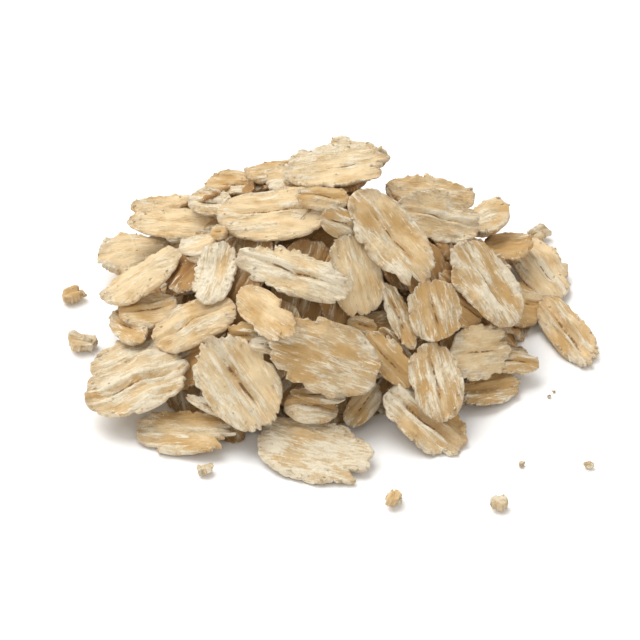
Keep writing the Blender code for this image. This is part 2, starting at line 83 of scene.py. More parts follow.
camera_data = bpy.data.cameras.new("front camera")
camera_data.lens = LENS_LENGTH
camera_data.sensor_width = SENSOR_WIDTH
camera_data.shift_x = (PICTURE_SIDE / 2 - BASE_IN_PICTURE[0]) / PICTURE_SIDE
camera_data.shift_y = (BASE_IN_PICTURE[1] - PICTURE_SIDE / 2) / PICTURE_SIDE
camera_data.clip_start = NEAREST_SEEN
camera = in_scene("front camera", camera_data)
camera.location = CAMERA / 1000
camera.rotation_euler = (math.pi / 2 - LOOK_DOWN, 0, 0)
bpy.context.scene.camera = camera

# The heap as it lies: loose flakes that slid down on each other until they came to rest. Those
# of the front are where the camera sees them, and the rest are dropped on the mound by a rule.
# First the mound under the flakes, in mm.
MOUND_HEIGHT = 17.5
MOUND_CENTRE_Y = 1.5
MOUND_RADII = {              # from its middle to its foot, by direction in degrees
    0: 21.0, 45: 18.0, 90: 17.5, 135: 21.0, 160: 25.0, 180: 24.0,
    205: 24.0, 235: 25.5, 265: 19.5, 285: 17.0, 315: 22.0,
}
MOUND_FULLNESS = 1.75        # 1 is a cone, 2 a dome
LEFT_FULLNESS = 0.25         # how much fuller the mound is on its left, and less so on its right
SLOPE_REACH = 2.0            # mm to each side of a place, over which its slope is taken
STEEPEST = 0.8               # slope that flakes are first tried at on a steep side
UNDER_COVER = (3.0, 3.0)     # how far the first flakes may spread beyond it, and rise above it
FOOT_COVER = (6.5, 3.0)      # and the same for those round its foot at the rear
REAR_COVER = (6.0, 3.9)      # and for those laid on them at the rear
LAST_COVER = (6.5, 6.5)      # and for the last ones, which the heap hides from the front
COVER_SLACK = 0.7            # how far an edge may stand out of that cover

# A rolled flake, in mm, and the ways that it may lie
FLAKE_HALF_THICKNESS = 0.45
LEAST_SLANT = 0.3            # height of a normal; a steeper flake counts as no thicker than this
HIDDEN_LENGTHS = (8.5, 12.0)
REAR_LENGTHS = (8.5, 13.0)
FILLING_LENGTHS = (5.5, 8.5)  # of the small ones that fill gaps at the rear
BREADTH_SHARES = (0.55, 0.74)  # a hidden flake's breadth over its length
LONGEST = 14.0
BROADEST = 9.0
MOST_UPRIGHT = 0.62          # height of a hidden flake's normal
MOST_EDGE_ON = 0.55          # cosine between a shown flake's upper side and the line of sight
TURN_TO_VIEW = 1.3           # how far one beyond that is first turned back to the view
LEAST_FACING = 0.25          # the same cosine, below which no tilt is taken
LEAST_RISE = 0.1             # height of a shown flake's normal
LEAN_COST = 0.1              # mm of gap that a step of tilt is worth
SUNK_COST = 3.0              # mm of gap for each mm below the floor
LEAN_STEP = 9.0              # degrees between the tilts that are tried
FARTHEST_GAP = 4.0           # a wider gap under a flake counts no more than this
RESTING_SHARE = 0.93         # share of the ground that a falling flake stays clear of
TOUCHING_SHARE = 0.03        # share of a shown flake that may cut into what is behind it
HEAP_SEED = 20

# The maps that the flakes are laid on
MAP_REACH = 38.0             # mm from the middle to the edge of the height map
MAP_STEP = 0.25              # mm
VIEW_STEP = 2                # picture points
VIEW_BOX = (60, 120, 620, 520)
SIGHT_REACH = 50.0           # mm before and beyond the middle that the lines of sight are followed
SIGHT_STEP = 0.3             # mm
RIM_STEP = 15                # degrees between the places on a flake's rim that are tested

# How many hidden flakes are tried, and which of them are kept
UNDER_FLAKES = 120           # places tried for the flakes that the shown ones lie on
FOOT_FLAKES = 80             # places tried round the mound's foot, away from the view
FOOT_STARTS = 0.85           # share of the way out where the foot starts
REAR_STARTS = 0.4            # and where the rear does
REAR_FLAKES = 120            # places tried on the side away from the view, each of three times
HEADINGS_TRIED = 5           # at each place
LEAST_BEHIND_OUTLINE = 0.9   # share of a hidden flake's edge inside the shown ones' outline
LEAST_BEHIND_HEAP = 0.85     # share of a last flake that the heap hides from the front
INNER_RIMS = (0.9, 0.6, 0.3)  # where on a hidden flake it is tested whether a shown one covers it
INNER_RIM = 0.5              # and whether the heap hides a last one
STANDS_OUT = 0.4             # mm that it may be nearer to the view than the shown one over it
MOST_IN_THE_WAY = 0.06       # share of those places where it may be nearer, or show over the floor
GOLDEN_ANGLE = math.pi * (3 - math.sqrt(5))

# Each flake that the front view shows: the two ends of its long axis and its breadth, in
# picture points, and where the crest hides what carries it, how far back its middle lies,
# in mm. They stand in the order in which they were laid, the lowest first.
SEEN = {
    "front bottom": ((257, 436), (373, 464), 68),
    "left bottom": ((134, 432), (239, 434), 46),
    "low right": ((460, 393), (519, 386), 34, -13.4),
    "dark sliver": ((187, 397), (245, 421), 14),
    "streaked behind left": ((94, 376), (164, 340), 40),
    "left fragment": ((110, 320), (148, 336), 32),
    "left half hidden": ((118, 314), (182, 306), 30),
    "far left": ((96, 256), (174, 251), 43, 9.5),
    "back left thin": ((131, 208), (208, 204), 18, 11.5),
    "under right": ((498, 300), (546, 310), 44, 2.6),
    "lone right": ((541, 300), (595, 365), 40),
    "far right": ((510, 240), (566, 294), 44, 9.8),
    "right shaded": ((484, 250), (534, 242), 30, 10.0),
    "right folded": ((470, 220), (510, 216), 34, 13.0),
    "brown edge": ((176, 292), (202, 262), 26),
    "orange piece": ((186, 258), (218, 252), 16),
    "left cream": ((178, 248), (220, 242), 16),
    "long diagonal": ((101, 300), (182, 253), 31),
    "back left tan": ((128, 222), (220, 223), 32, 6.0),
    "granular": ((189, 202), (234, 204), 28, 4.5),
    "curled": ((204, 183), (264, 186), 26, 6.5),
    "back tan": ((244, 176), (286, 172), 22, 6.0),
    "back pale": ((266, 184), (302, 178), 24, 3.5),
    "back right smooth": ((387, 186), (474, 200), 30, 5.5),
    "back right streaked": ((398, 208), (481, 226), 50, 1.5),
    "right brown scrap": ((494, 350), (528, 354), 18, -7.5),
    "right pointed": ((486, 362), (540, 366), 22),
    "front right": ((386, 388), (462, 449), 50),
    "front small": ((284, 408), (337, 409), 32),
    "front leaning": ((378, 384), (347, 427), 28, -17.4),
    "front splinter": ((290, 392), (346, 400), 14),
    "shaded fragment": ((226, 334), (274, 336), 28),
    "centre scrap": ((248, 344), (290, 347), 18),
    "centre gap": ((346, 322), (376, 330), 20),
    "left large": ((84, 402), (190, 368), 54),
    "centre left large": ((208, 337), (268, 425), 76),
    "right strip": ((378, 328), (412, 364), 18),
    "right shaded tan": ((366, 334), (412, 385), 36),
    "right notched": ((450, 356), (510, 350), 56),
    "right front tall": ((427, 341), (446, 421), 54),
    "centre large": ((268, 338), (379, 377), 78),
    "narrow ribbed": ((385, 284), (413, 348), 24),
    "brown under right": ((440, 288), (482, 322), 34),
    "wavy": ((428, 280), (442, 341), 54),
    "right long": ((458, 241), (514, 325), 52),
    "left middle": ((151, 343), (238, 305), 42),
    "floury chunk": ((224, 242), (206, 304), 44),
    "top shaded": ((296, 197), (348, 202), 22),
    "middle shaded": ((320, 214), (356, 232), 30),
    "middle upright": ((344, 234), (366, 317), 54),
    "upper right large": ((354, 194), (428, 281), 57, -5.8),
    "small smooth": ((237, 292), (293, 333), 42),
    "centre long": ((238, 253), (351, 292), 48),
    "upper left large": ((217, 221), (331, 210), 53, -2.8),
    "round grain": ((213, 234), (229, 234), 16),
    "top": ((284, 174), (391, 160), 40, 3.4),
    "top crumb": ((330, 145), (351, 146), 13, 7.8),
}
rng = np.random.default_rng(HEAP_SEED)


def foot_radius(degrees):
    """How far the mound reaches from its middle in a direction."""
    return np.interp(degrees, list(MOUND_RADII), list(MOUND_RADII.values()), period=360)


def mound_height(x, y, extra_reach=0.0, extra_height=0.0):
    """Height of the bare mound, or of a form that far outside it; 0 beyond its foot."""
    angle = np.degrees(np.arctan2(y - MOUND_CENTRE_Y, x))
    reach = np.clip(np.hypot(x, y - MOUND_CENTRE_Y) / (foot_radius(angle) + extra_reach), 0, 1)
    fullness = MOUND_FULLNESS - LEFT_FULLNESS * np.cos(np.radians(angle))
    return (MOUND_HEIGHT + extra_height) * (1 - reach ** fullness)


def mound_normal(x, y):
    """Outward direction of the mound at a place, upright beyond its foot."""
    slope_x, slope_y = (
        (mound_height(x + step_x, y + step_y) - mound_height(x - step_x, y - step_y)) / (2 * SLOPE_REACH)
        for step_x, step_y in ((SLOPE_REACH, 0), (0, SLOPE_REACH)))
    slope = math.hypot(slope_x, slope_y)
    ease = min(1.0, STEEPEST / max(slope, 0.01))
    normal = np.array((-slope_x * ease, -slope_y * ease, 1.0))
    return normal / np.linalg.norm(normal)


def turned(vector, axis, degrees):
    """The vector turned about an axis."""
    angle = math.radians(degrees)
    axis = axis / np.linalg.norm(axis)
    return (vector * math.cos(angle) + np.cross(axis, vector) * math.sin(angle)
            + axis * np.dot(axis, vector) * (1 - math.cos(angle)))


def leanings(normal, steps):
    """Directions around a normal, and how many steps each is away from it."""
    side = np.cross(normal, UP)
    side /= np.linalg.norm(side)
    other = np.cross(normal, side)
    for i in steps:
        for j in steps:
            yield turned(turned(normal, side, i * LEAN_STEP), other, j * LEAN_STEP), math.hypot(i, j)


def sight_line(u, v):
    """Direction from the camera through a picture point."""
    across = (np.asarray(u, float) - BASE_IN_PICTURE[0]) / LENS_POINTS
    above = (BASE_IN_PICTURE[1] - np.asarray(v, float)) / LENS_POINTS
    return AHEAD + across[..., None] * RIGHT + above[..., None] * UP


def in_picture(points):
    """Picture points and depths of places in space."""
    arm = np.asarray(points) - CAMERA
    depth = arm @ AHEAD
    u = BASE_IN_PICTURE[0] + LENS_POINTS * (arm @ RIGHT) / depth
    v = BASE_IN_PICTURE[1] - LENS_POINTS * (arm @ UP) / depth
    return u, v, depth


class Flake:
    """A flake's place: its middle, half length, half breadth and upper side."""

    def __init__(self, middle, along, across, normal):
        self.name = ""
        self.middle = middle
        self.along = along
        self.across = across
        self.normal = normal

    def point(self, x, y, z):
        """A place on the flake, from -1 to 1 along and across it, and in mm above it."""
        return (self.middle + np.multiply.outer(x, self.along)
                + np.multiply.outer(y, self.across) + np.multiply.outer(z, self.normal))

    def rim(self, size=1.0):
        """Places round the flake's edge, or round a smaller form inside it."""
        angle = np.radians(np.arange(0, 360, RIM_STEP))
        return self.point(size * np.cos(angle), size * np.sin(angle), 0 * angle)

    def seen_at(self, u, v):
        """Where places of the picture lie on the flake, from -1 to 1 along and across it."""
        us, vs, _ = in_picture(self.point(np.array((0, 1, 0)), np.array((0, 0, 1)), np.zeros(3)))
        along_u, across_u = us[1:] - us[0]
        along_v, across_v = vs[1:] - vs[0]
        area = along_u * across_v - along_v * across_u
        away_u = u - us[0]
        away_v = v - vs[0]
        on_x = (away_u * across_v - away_v * across_u) / area
        return on_x, (away_v * along_u - away_u * along_v) / area


class Ground:
    """The heap's height over every place, seen from straight above."""

    def __init__(self):
        self.side = np.arange(-MAP_REACH, MAP_REACH, MAP_STEP)
        self.x, self.y = np.meshgrid(self.side, self.side)
        self.height = mound_height(self.x, self.y)

    def cell(self, distance):
        """The map's row or column at a distance from the middle."""
        return np.clip(((distance + MAP_REACH) / MAP_STEP).astype(int), 0, len(self.side) - 1)

    def under(self, middle, along, across):
        """The map's window over a flake, and where each cell lies on it."""
        reach = np.abs(along[:2]) + np.abs(across[:2])
        low = np.floor((middle[:2] - reach + MAP_REACH) / MAP_STEP).astype(int)
        high = np.ceil((middle[:2] + reach + MAP_REACH) / MAP_STEP).astype(int) + 1
        low = np.clip(low, 0, len(self.side))
        high = np.clip(high, 0, len(self.side))
        window = (slice(low[1], high[1]), slice(low[0], high[0]))
        away_x = self.x[window] - middle[0]
        away_y = self.y[window] - middle[1]
        area = along[0] * across[1] - along[1] * across[0]
        on_x = (away_x * across[1] - away_y * across[0]) / area
        on_y = (away_y * along[0] - away_x * along[1]) / area
        return window, on_x, on_y, on_x**2 + on_y**2 < 1

    def lay(self, flake):
        """Raises the map to the flake's upper side."""
        window, on_x, on_y, inside = self.under(flake.middle, flake.along, flake.across)
        level = flake.middle[2] + on_x * flake.along[2] + on_y * flake.across[2]
        top = level + FLAKE_HALF_THICKNESS / max(flake.normal[2], LEAST_SLANT)
        before = self.height[window]
        self.height[window] = np.where(inside & (top > before), top, before)


def drop(ground, x, y, heading, length, breadth):
    """Lets a flake fall straight down at a place, and picks the way that it lies closest."""
    best = None
    for direction, lean in leanings(mound_normal(x, y), (0, -1, 1)):
        if direction[2] < MOST_UPRIGHT:
            continue
        along = np.array((math.cos(heading), math.sin(heading), 0.0))
        along -= direction * np.dot(along, direction)
        along /= np.linalg.norm(along)
        across = np.cross(direction, along) * breadth / 2
        along = along * length / 2
        middle = np.array((x, y, 0.0))
        window, on_x, on_y, inside = ground.under(middle, along, across)
        lift = FLAKE_HALF_THICKNESS / direction[2]
        gap = ground.height[window][inside] - on_x[inside] * along[2] - on_y[inside] * across[2]
        rest = np.quantile(gap, RESTING_SHARE) + lift
        space = (rest - lift - gap) * direction[2]
        score = np.minimum(space, FARTHEST_GAP).mean() + LEAN_COST * lean
        if best is None or score < best[0]:
            middle[2] = rest
            best = (score, Flake(middle, along, across, direction))
    return best


class View:
    """The depth of the heap's surface along each line of sight of the front view."""

    def __init__(self, ground):
        left, top, right, bottom = VIEW_BOX
        columns = np.arange(left, right, VIEW_STEP)
        rows = np.arange(top, bottom, VIEW_STEP)
        self.u, self.v = np.meshgrid(columns, rows)
        self.line = sight_line(self.u, self.v)
        self.floor = -CAMERA[2] / self.line[..., 2]
        self.depth = self.floor.copy()
        found = np.zeros(self.floor.shape, bool)
        nearest = CAMERA_DISTANCE - SIGHT_REACH
        for near in np.arange(nearest, CAMERA_DISTANCE + SIGHT_REACH, SIGHT_STEP):
            place = CAMERA + near * self.line
            height = ground.height[ground.cell(place[..., 1]), ground.cell(place[..., 0])]
            hit = ~found & (place[..., 2] < height) & (near < self.floor)
            self.depth[hit] = near
            found |= hit

    def window(self, end_a, end_b, breadth):
        """The picture's window over a flake, and where each point lies on it."""
        end_a = np.array(end_a, float)
        end_b = np.array(end_b, float)
        middle = (end_a + end_b) / 2
        along = (end_b - end_a) / 2
        across = np.array((along[1], -along[0])) * (breadth / 2) / np.linalg.norm(along)
        away_u = self.u - middle[0]
        away_v = self.v - middle[1]
        on_x = (away_u * along[0] + away_v * along[1]) / np.dot(along, along)
        on_y = (away_u * across[0] + away_v * across[1]) / np.dot(across, across)
        return middle, along, across, on_x, on_y, on_x**2 + on_y**2 < 1

    def lay(self, flake):
        """Brings the surface forward to the flake."""
        on_x, on_y = flake.seen_at(self.u, self.v)
        inside = on_x**2 + on_y**2 < 1
        facing = self.line @ flake.normal
        top = (np.dot(flake.normal, flake.middle - CAMERA) + FLAKE_HALF_THICKNESS) / facing
        self.depth = np.where(inside, np.minimum(self.depth, top), self.depth)


def lay_as_seen(view, end_a, end_b, breadth, back=None):
    """Slides a flake along the lines of sight until it lies on what is behind it.

    One whose middle has its distance back given is put there instead.
    """
    middle, along, across, on_x, on_y, inside = view.window(end_a, end_b, breadth)
    line = view.line[inside]
    middle_line = sight_line(*middle)
    surface = view.depth[inside]
    given = None if back is None else (back - CAMERA[1]) / middle_line[1]
    place = CAMERA + (given or np.median(surface)) * middle_line
    start = mound_normal(place[0], place[1])
    turned_away = max(start @ AHEAD + MOST_EDGE_ON, 0)
    start = start - TURN_TO_VIEW * turned_away * AHEAD
    start = start / np.linalg.norm(start)
    best = None
    for normal, lean in leanings(start, (0, -1, 1, -2, 2)):
        facing = line @ normal
        middle_facing = middle_line @ normal
        if facing.max() > -LEAST_FACING or normal[2] < LEAST_RISE:
            continue
        thickness = FLAKE_HALF_THICKNESS / -facing
        reach = (surface - thickness) * facing / middle_facing
        rest = given or np.quantile(reach, TOUCHING_SHARE)
        gap = surface - thickness - rest * middle_facing / facing
        centre = CAMERA + rest * middle_line

        def on_plane(point):
            direction = sight_line(*point)
            return CAMERA + direction * np.dot(normal, centre - CAMERA) / (direction @ normal)

        half_a = on_plane(middle + along) - centre
        half_b = on_plane(middle + across) - centre
        length = 2 * np.linalg.norm(half_a)
        width = 2 * np.linalg.norm(half_b)
        too_big = max(length - LONGEST, 0) + max(width - BROADEST, 0)
        skew = abs(np.dot(half_a, half_b)) / (np.linalg.norm(half_a) * np.linalg.norm(half_b))
        lowest = min(centre[2] - math.hypot(half_a[2], half_b[2]), 0)
        gap = np.abs(np.clip(gap, -FARTHEST_GAP, FARTHEST_GAP))
        score = gap.mean() + LEAN_COST * lean + too_big + skew - SUNK_COST * lowest
        if best is None or score < best[0]:
            best = (score, Flake(centre, half_a, half_b, normal))
    return best[1]


def lay_heap():
    """Lays every flake, the hidden ones first."""
    ground = Ground()
    outline = View(ground)
    shown = np.zeros(outline.depth.shape, bool)
    for end_a, end_b, breadth, *_ in SEEN.values():
        *_, inside = outline.window(end_a, end_b, breadth)
        shown |= inside
    between = [np.logical_or.accumulate(shown, axis=axis) & np.flip(
        np.logical_or.accumulate(np.flip(shown, axis), axis=axis), axis) for axis in (0, 1)]
    shown = between[0] & between[1]

    def cells(points):
        """Rows and columns of the front view where places in space are seen, and their depths."""
        u, v, depth = in_picture(points)
        column = np.clip((u - VIEW_BOX[0]) / VIEW_STEP, 0, shown.shape[1] - 1).astype(int)
        row = np.clip((v - VIEW_BOX[1]) / VIEW_STEP, 0, shown.shape[0] - 1).astype(int)
        return row, column, depth

    def cast(count, sector, inner, cover, lengths, fits):
        """Drops flakes spread evenly over a sector of the mound and keeps those that fit."""
        kept = []
        for i in range(count):
            reach = math.sqrt(inner**2 + (1 - inner**2) * (i + 0.5) / count)
            angle = i * GOLDEN_ANGLE % sector
            out = reach * (foot_radius(math.degrees(angle)) + cover[0] / 2)
            x = out * math.cos(angle)
            y = MOUND_CENTRE_Y + out * math.sin(angle)
            length = rng.uniform(*lengths)
            breadth = length * rng.uniform(*BREADTH_SHARES)
            found = []
            first_heading = rng.uniform(0, math.tau)
            for heading in first_heading + np.arange(HEADINGS_TRIED) * math.pi / HEADINGS_TRIED:
                score, flake = drop(ground, x, y, heading, length, breadth)
                rim = flake.rim()
                row, column, _ = cells(rim)
                in_outline = shown[row, column].mean() > LEAST_BEHIND_OUTLINE
                below_cover = rim[:, 2] < mound_height(rim[:, 0], rim[:, 1], *cover) + COVER_SLACK
                if in_outline and below_cover.all() and fits(flake):
                    found.append((score, flake))
            if found:
                flake = min(found, key=lambda f: f[0])[1]
                ground.lay(flake)
                kept.append(flake)
        return kept

    def anywhere(_):
        return True

    hidden = cast(UNDER_FLAKES, math.tau, 0.0, UNDER_COVER, HIDDEN_LENGTHS, anywhere)
    hidden += cast(FOOT_FLAKES, math.pi, FOOT_STARTS, FOOT_COVER, HIDDEN_LENGTHS, anywhere)
    hidden += cast(REAR_FLAKES, math.pi, REAR_STARTS, REAR_COVER, REAR_LENGTHS, anywhere)
    view = View(ground)
    front = View(Ground())
    mound_depth = front.depth
    seen = []
    for name, sizes in SEEN.items():
        flake = lay_as_seen(view, *sizes)
        flake.name = name
        view.lay(flake)
        front.lay(flake)
        ground.lay(flake)
        seen.append(flake)

    def in_the_way(flake):
        """Whether a hidden flake would show before the shown ones, or over the bare floor."""
        row, column, depth = cells(np.concatenate([flake.rim(size) for size in INNER_RIMS]))
        surface = front.depth[row, column]
        before_shown = (surface < mound_depth[row, column]) & (depth < surface - STANDS_OUT)
        over_floor = surface == front.floor[row, column]
        return (before_shown | over_floor).mean() > MOST_IN_THE_WAY

    def behind_heap(flake):
        """Whether the heap hides a flake from the front."""
        row, column, depth = cells(np.concatenate((flake.rim(), flake.rim(INNER_RIM))))
        return (front.depth[row, column] < depth).mean() > LEAST_BEHIND_HEAP

    hidden = [flake for flake in hidden if not in_the_way(flake)]
    ground = Ground()
    for flake in hidden + seen:
        ground.lay(flake)
    hidden += cast(REAR_FLAKES, math.pi, 0.0, LAST_COVER, REAR_LENGTHS, behind_heap)
    hidden += cast(REAR_FLAKES, math.pi, 0.0, LAST_COVER, FILLING_LENGTHS, behind_heap)
    return hidden, seen


hidden_flakes, seen_flakes = lay_heap()
seen_by_name = {flake.name: flake for flake in seen_flakes}

# Places of the front view, in picture points, where the bed's flakes are put right: bare floor
# shows at the first ones, so nothing of the bed lies there, and a shaded scrap on the floor
# shows through a gap at each of the others.
BARE_SPOTS = ((236, 432), (246, 435), (254, 437))
BARE_MARGIN = 1.1            # of a flake's oval, squared, that has to clear those spots
SHADED_SPOTS = ((174, 242), (163, 287))
SCRAP_ALONG = (3.2, 0.8, 0.0)  # mm, half of it along and half across
SCRAP_ACROSS = (-0.6, 2.0, 0.0)
SCRAP_HEIGHT = 1.0
UPWARD = (0.0, 0.0, 1.0)


def covers(flake, spot):
    """Whether a flake lies over a spot of the picture."""
    on_x, on_y = flake.seen_at(*spot)
    return on_x**2 + on_y**2 < BARE_MARGIN


hidden_flakes = [f for f in hidden_flakes if not any(covers(f, spot) for spot in BARE_SPOTS)]
for spot in SHADED_SPOTS:
    line = sight_line(*spot)
    place = CAMERA + line * (SCRAP_HEIGHT - CAMERA[2]) / line[2]
    hidden_flakes.append(Flake(place, *np.array((SCRAP_ALONG, SCRAP_ACROSS, UPWARD))))

# Rolled oats' own finish: a steamed groat pressed flat, tan bran outside and floury white
# endosperm where the rollers tore it, with the brown line of the groat's furrow.
BRAN = (0.58, 0.37, 0.155, 1)
PALE_BRAN = (0.82, 0.645, 0.395, 1)
DUSTY = (0.81, 0.65, 0.41, 1)
FLOUR = (0.95, 0.86, 0.67, 1)
# a toasted brown for dark specks, also used as painted shade in gaps and at the tips
TOASTED_AND_SHADE_BROWN = (0.34, 0.16, 0.05, 1)
FURROW_BROWN = (0.19, 0.085, 0.03, 1)
GRAIN_OF = {                 # fineness along, across and through a flake, detail, roughness, warp
    "bands": ((0.30, 1.30, 1.0), 4.0, 0.55, 1.2),
    "threads": ((0.55, 3.60, 1.0), 5.0, 0.65, 0.9),
    "patches": ((0.30, 0.50, 1.0), 3.0, 0.5, 0.0),
    "fibres": ((0.8, 6.5, 1.0), 4.0, 0.6, 0.0),
    "grains": ((3.4, 3.4, 3.4), 5.0, 0.65, 0.0),
    "dashes": ((1.1, 0.5, 1.0), 4.0, 0.7, 0.0),
    "specks": ((4.2, 5.4, 1.0), 2.0, 0.5, 0.0),
}
RELIEF = 0.00042             # m, of the grain that is too fine for the mesh
RELIEF_STRENGTH = 0.9
SHEEN = 0.15


def add_node(tree, kind, settings=None, inputs=None):
    """A node with its settings, and its sockets set or linked."""
    node = tree.nodes.new(kind)
    for key, value in (settings or {}).items():
        setattr(node, key, value)
    for key, value in (inputs or {}).items():
        if isinstance(value, bpy.types.NodeSocket):
            tree.links.new(value, node.inputs[key])
        else:
            node.inputs[key].default_value = value
    return node


def add_sockets(tree, in_out, sockets):
    """Sockets on the outside of a node group, and what the group calls them."""
    made = [tree.interface.new_socket(name, in_out=in_out, socket_type="NodeSocket" + kind)
            for name, kind in sockets.items()]
    return [socket.identifier for socket in made]


def maths(tree, operation, a, b):
    """The result of a Math node."""
    return add_node(tree, "ShaderNodeMath", {"operation": operation}, {0: a, 1: b}).outputs[0]


def product(tree, value, *factors):
    """A value times its factors."""
    for factor in factors:
        value = maths(tree, "MULTIPLY", value, factor)
    return value


def total(tree, *terms):
    """The sum of some values, each with the factors that it is first multiplied by."""
    value = product(tree, *terms[0])
    for term in terms[1:]:
        value = maths(tree, "ADD", value, product(tree, *term))
    return value


def rise(tree, value, low, high):
    """The value's smooth rise from 0 at low to 1 at high."""
    return add_node(tree, "ShaderNodeMapRange", {"interpolation_type": "SMOOTHSTEP"}, {
        "Value": value, "From Min": low, "From Max": high}).outputs[0]


def blend(tree, share, a, b):
    """A colour between two."""
    return add_node(tree, "ShaderNodeMix", {"data_type": "RGBA"}, {0: share, 6: a, 7: b}).outputs[2]


def stretched_noise(tree, place, scale, detail, roughness, warp):
    """Noise over the flake's own millimetres, drawn out along it."""
    mapped = add_node(tree, "ShaderNodeMapping", None, {"Vector": place, "Scale": scale})
    return add_node(tree, "ShaderNodeTexNoise", None, {
        "Vector": mapped.outputs[0], "Scale": 1.0, "Detail": detail, "Roughness": roughness,
        "Distortion": warp}).outputs["Fac"]


oat = bpy.data.node_groups.new("oat surface", "ShaderNodeTree")
add_sockets(oat, "INPUT", {"Place": "Vector", "Flour": "Float", "Furrow": "Float", "Edge": "Float",
                           "ToneAndShade": "Float", "PaintedShade": "Float", "TipsAndEdgeShade": "Float"})
add_sockets(oat, "OUTPUT", {"Colour": "Color", "Roughness": "Float", "Height": "Float"})
given = oat.nodes.new("NodeGroupInput").outputs
bands, threads, patches, fibres, grains, dashes, specks = (
    stretched_noise(oat, given["Place"], *grain) for grain in GRAIN_OF.values())
streaks = total(oat, (bands, 0.42), (threads, 0.58))
paleness = total(oat, (patches,), (fibres, 0.30), (given["ToneAndShade"], -0.50))
dust = rise(oat, total(oat, (given["Flour"], 0.8), (patches, 0.5), (grains, 0.25)), 0.55, 1.0)
flour = rise(oat, total(oat, (given["Flour"], 0.22), (streaks,), (grains, 0.12)), 0.64, 0.77)

# Each layer's colour, and the shares whose product says how much of it lies over those before:
# brown patches of painted shade, dust, bared flour, the furrow's dashes, dark specks, the worn
# edge and brown tips, which are partly the bran's own brown and partly painted edge shade.
layers = (
    (TOASTED_AND_SHADE_BROWN, given["PaintedShade"], rise(oat, patches, 0.15, 0.60)),
    (DUSTY, dust, 0.6),
    (FLOUR, flour, 0.92),
    (FURROW_BROWN, rise(oat, given["Furrow"], 0.66, 0.97), rise(oat, dashes, 0.40, 0.52), 0.85),
    (TOASTED_AND_SHADE_BROWN, rise(oat, specks, 0.66, 0.74), 0.55),
    (FLOUR, rise(oat, given["Edge"], 0.45, 0.95), rise(oat, grains, 0.50, 0.62), 0.55),
    (TOASTED_AND_SHADE_BROWN, given["TipsAndEdgeShade"], rise(oat, patches, 0.35, 0.65), 0.6),
)
surface = blend(oat, rise(oat, paleness, 0.28, 0.68), BRAN, PALE_BRAN)
for colour, *shares in layers:
    surface = blend(oat, product(oat, *shares), surface, colour)
grit = total(oat, (dust, 0.7), (0.35,))
add_node(oat, "NodeGroupOutput", None, {
    "Colour": surface,
    "Roughness": total(oat, (flour, 0.22), (0.60,)),
    "Height": total(oat, (streaks, 1.1), (fibres, 0.25), (grains, grit))})


def oat_finish(name):
    """A material that reads a flake's own marks and gives it bran, flour, furrow and grain."""
    material = bpy.data.materials.new(name)
    material.use_nodes = True
    tree = material.node_tree
    shader = tree.nodes["Principled BSDF"]
    inputs = {"Place": add_node(tree, "ShaderNodeUVMap", {"uv_map": "flake"}).outputs[0]}
    # own values: tone, partly painted shade; a brown that is painted shade; tips, partly painted edge
    # shade
    for title, names in (("marks", ("Flour", "Furrow", "Edge")), ("own", ("ToneAndShade", "PaintedShade", "TipsAndEdgeShade"))):
        read = add_node(tree, "ShaderNodeAttribute", {"attribute_name": title})
        parts = add_node(tree, "ShaderNodeSeparateColor", None, {0: read.outputs["Color"]})
        inputs.update(zip(names, parts.outputs))
    made = add_node(tree, "ShaderNodeGroup", {"node_tree": oat}, inputs)
    bump = add_node(tree, "ShaderNodeBump", None, {
        "Height": made.outputs["Height"], "Distance": RELIEF, "Strength": RELIEF_STRENGTH})
    tree.links.new(made.outputs["Colour"], shader.inputs["Base Color"])
    tree.links.new(made.outputs["Roughness"], shader.inputs["Roughness"])
    tree.links.new(bump.outputs[0], shader.inputs["Normal"])
    shader.inputs["Specular IOR Level"].default_value = SHEEN
    return material


# The form of one flake: an oval pressed thin, with a torn edge, ridges drawn out along it, the
# furrow down its middle and a slight curl from drying. Every piece below is made of these.
USUAL = {
    "blunt": 2.2, "lobes": 0.035, "torn": 0.07, "bites": (), "curl": -0.1, "bend": 0.1, "wave": 0.26,
    "ridges": 0.07, "dents": 0.22, "grit": 0.035, "furrow": 0.6, "furrow_at": 0.0, "groove": 1.0,
    "flour": 0.35, "tone_and_shade": 0.5, "toast": 0.0, "tips": 0.65, "half_thickness": 0.32,
}
SCENE_SEED = 7               # each piece's draws start from this and a number of its own
TABLE_SIDE = 41              # of the random values that a flake's noise is read from
FARTHEST_SHIFT = 40          # mm, by which a flake's own place in that noise is moved
TEETH = ((31, 1.0), (53, 1.0), (83, 0.7))  # how many there are round the edge, and their size
UPPER_REACH = 0.985          # share of the outline where the upper side ends, and the lower one
LOWER_REACH = 0.965
RING_CROWDING = 0.8          # under 1, the rings of the mesh lie closer toward the edge
EDGE_THINNING = 0.35         # share of the thickness that an edge lacks
EDGE_RELIEF = 0.5            # share of the relief that an edge shows, and the lower side
LOWER_RELIEF = 0.35
FURROW_HALF_WIDTH = 0.24     # mm
FURROW_DEPTH = 0.38
LIP_AWAY = 0.55              # from the furrow's middle to its raised lips
LIP_HALF_WIDTH = 0.28
LIP_HEIGHT = 0.24
BEAD_HEIGHT = 0.42           # of the lumps of flour at the edge
WRINKLE_HEIGHT = 0.10
LOWEST = 0.04                # height over the floor, that nothing of a flake lies under
EDGE_SHARPNESS = 6           # power of the reach, by which the edge's marks gather at the edge


def soft_noise(x, y, table):
    """Smooth noise from -1 to 1 over a table of random values that repeats."""
    column = np.floor(x).astype(int)
    row = np.floor(y).astype(int)
    across = x - column
    up = y - row
    across = across * across * (3 - 2 * across)
    up = up * up * (3 - 2 * up)
    size = len(table)
    left, right = column % size, (column + 1) % size
    low = table[row % size, left] * (1 - across) + table[row % size, right] * across
    high = table[(row + 1) % size, left] * (1 - across) + table[(row + 1) % size, right] * across
    return low * (1 - up) + high * up


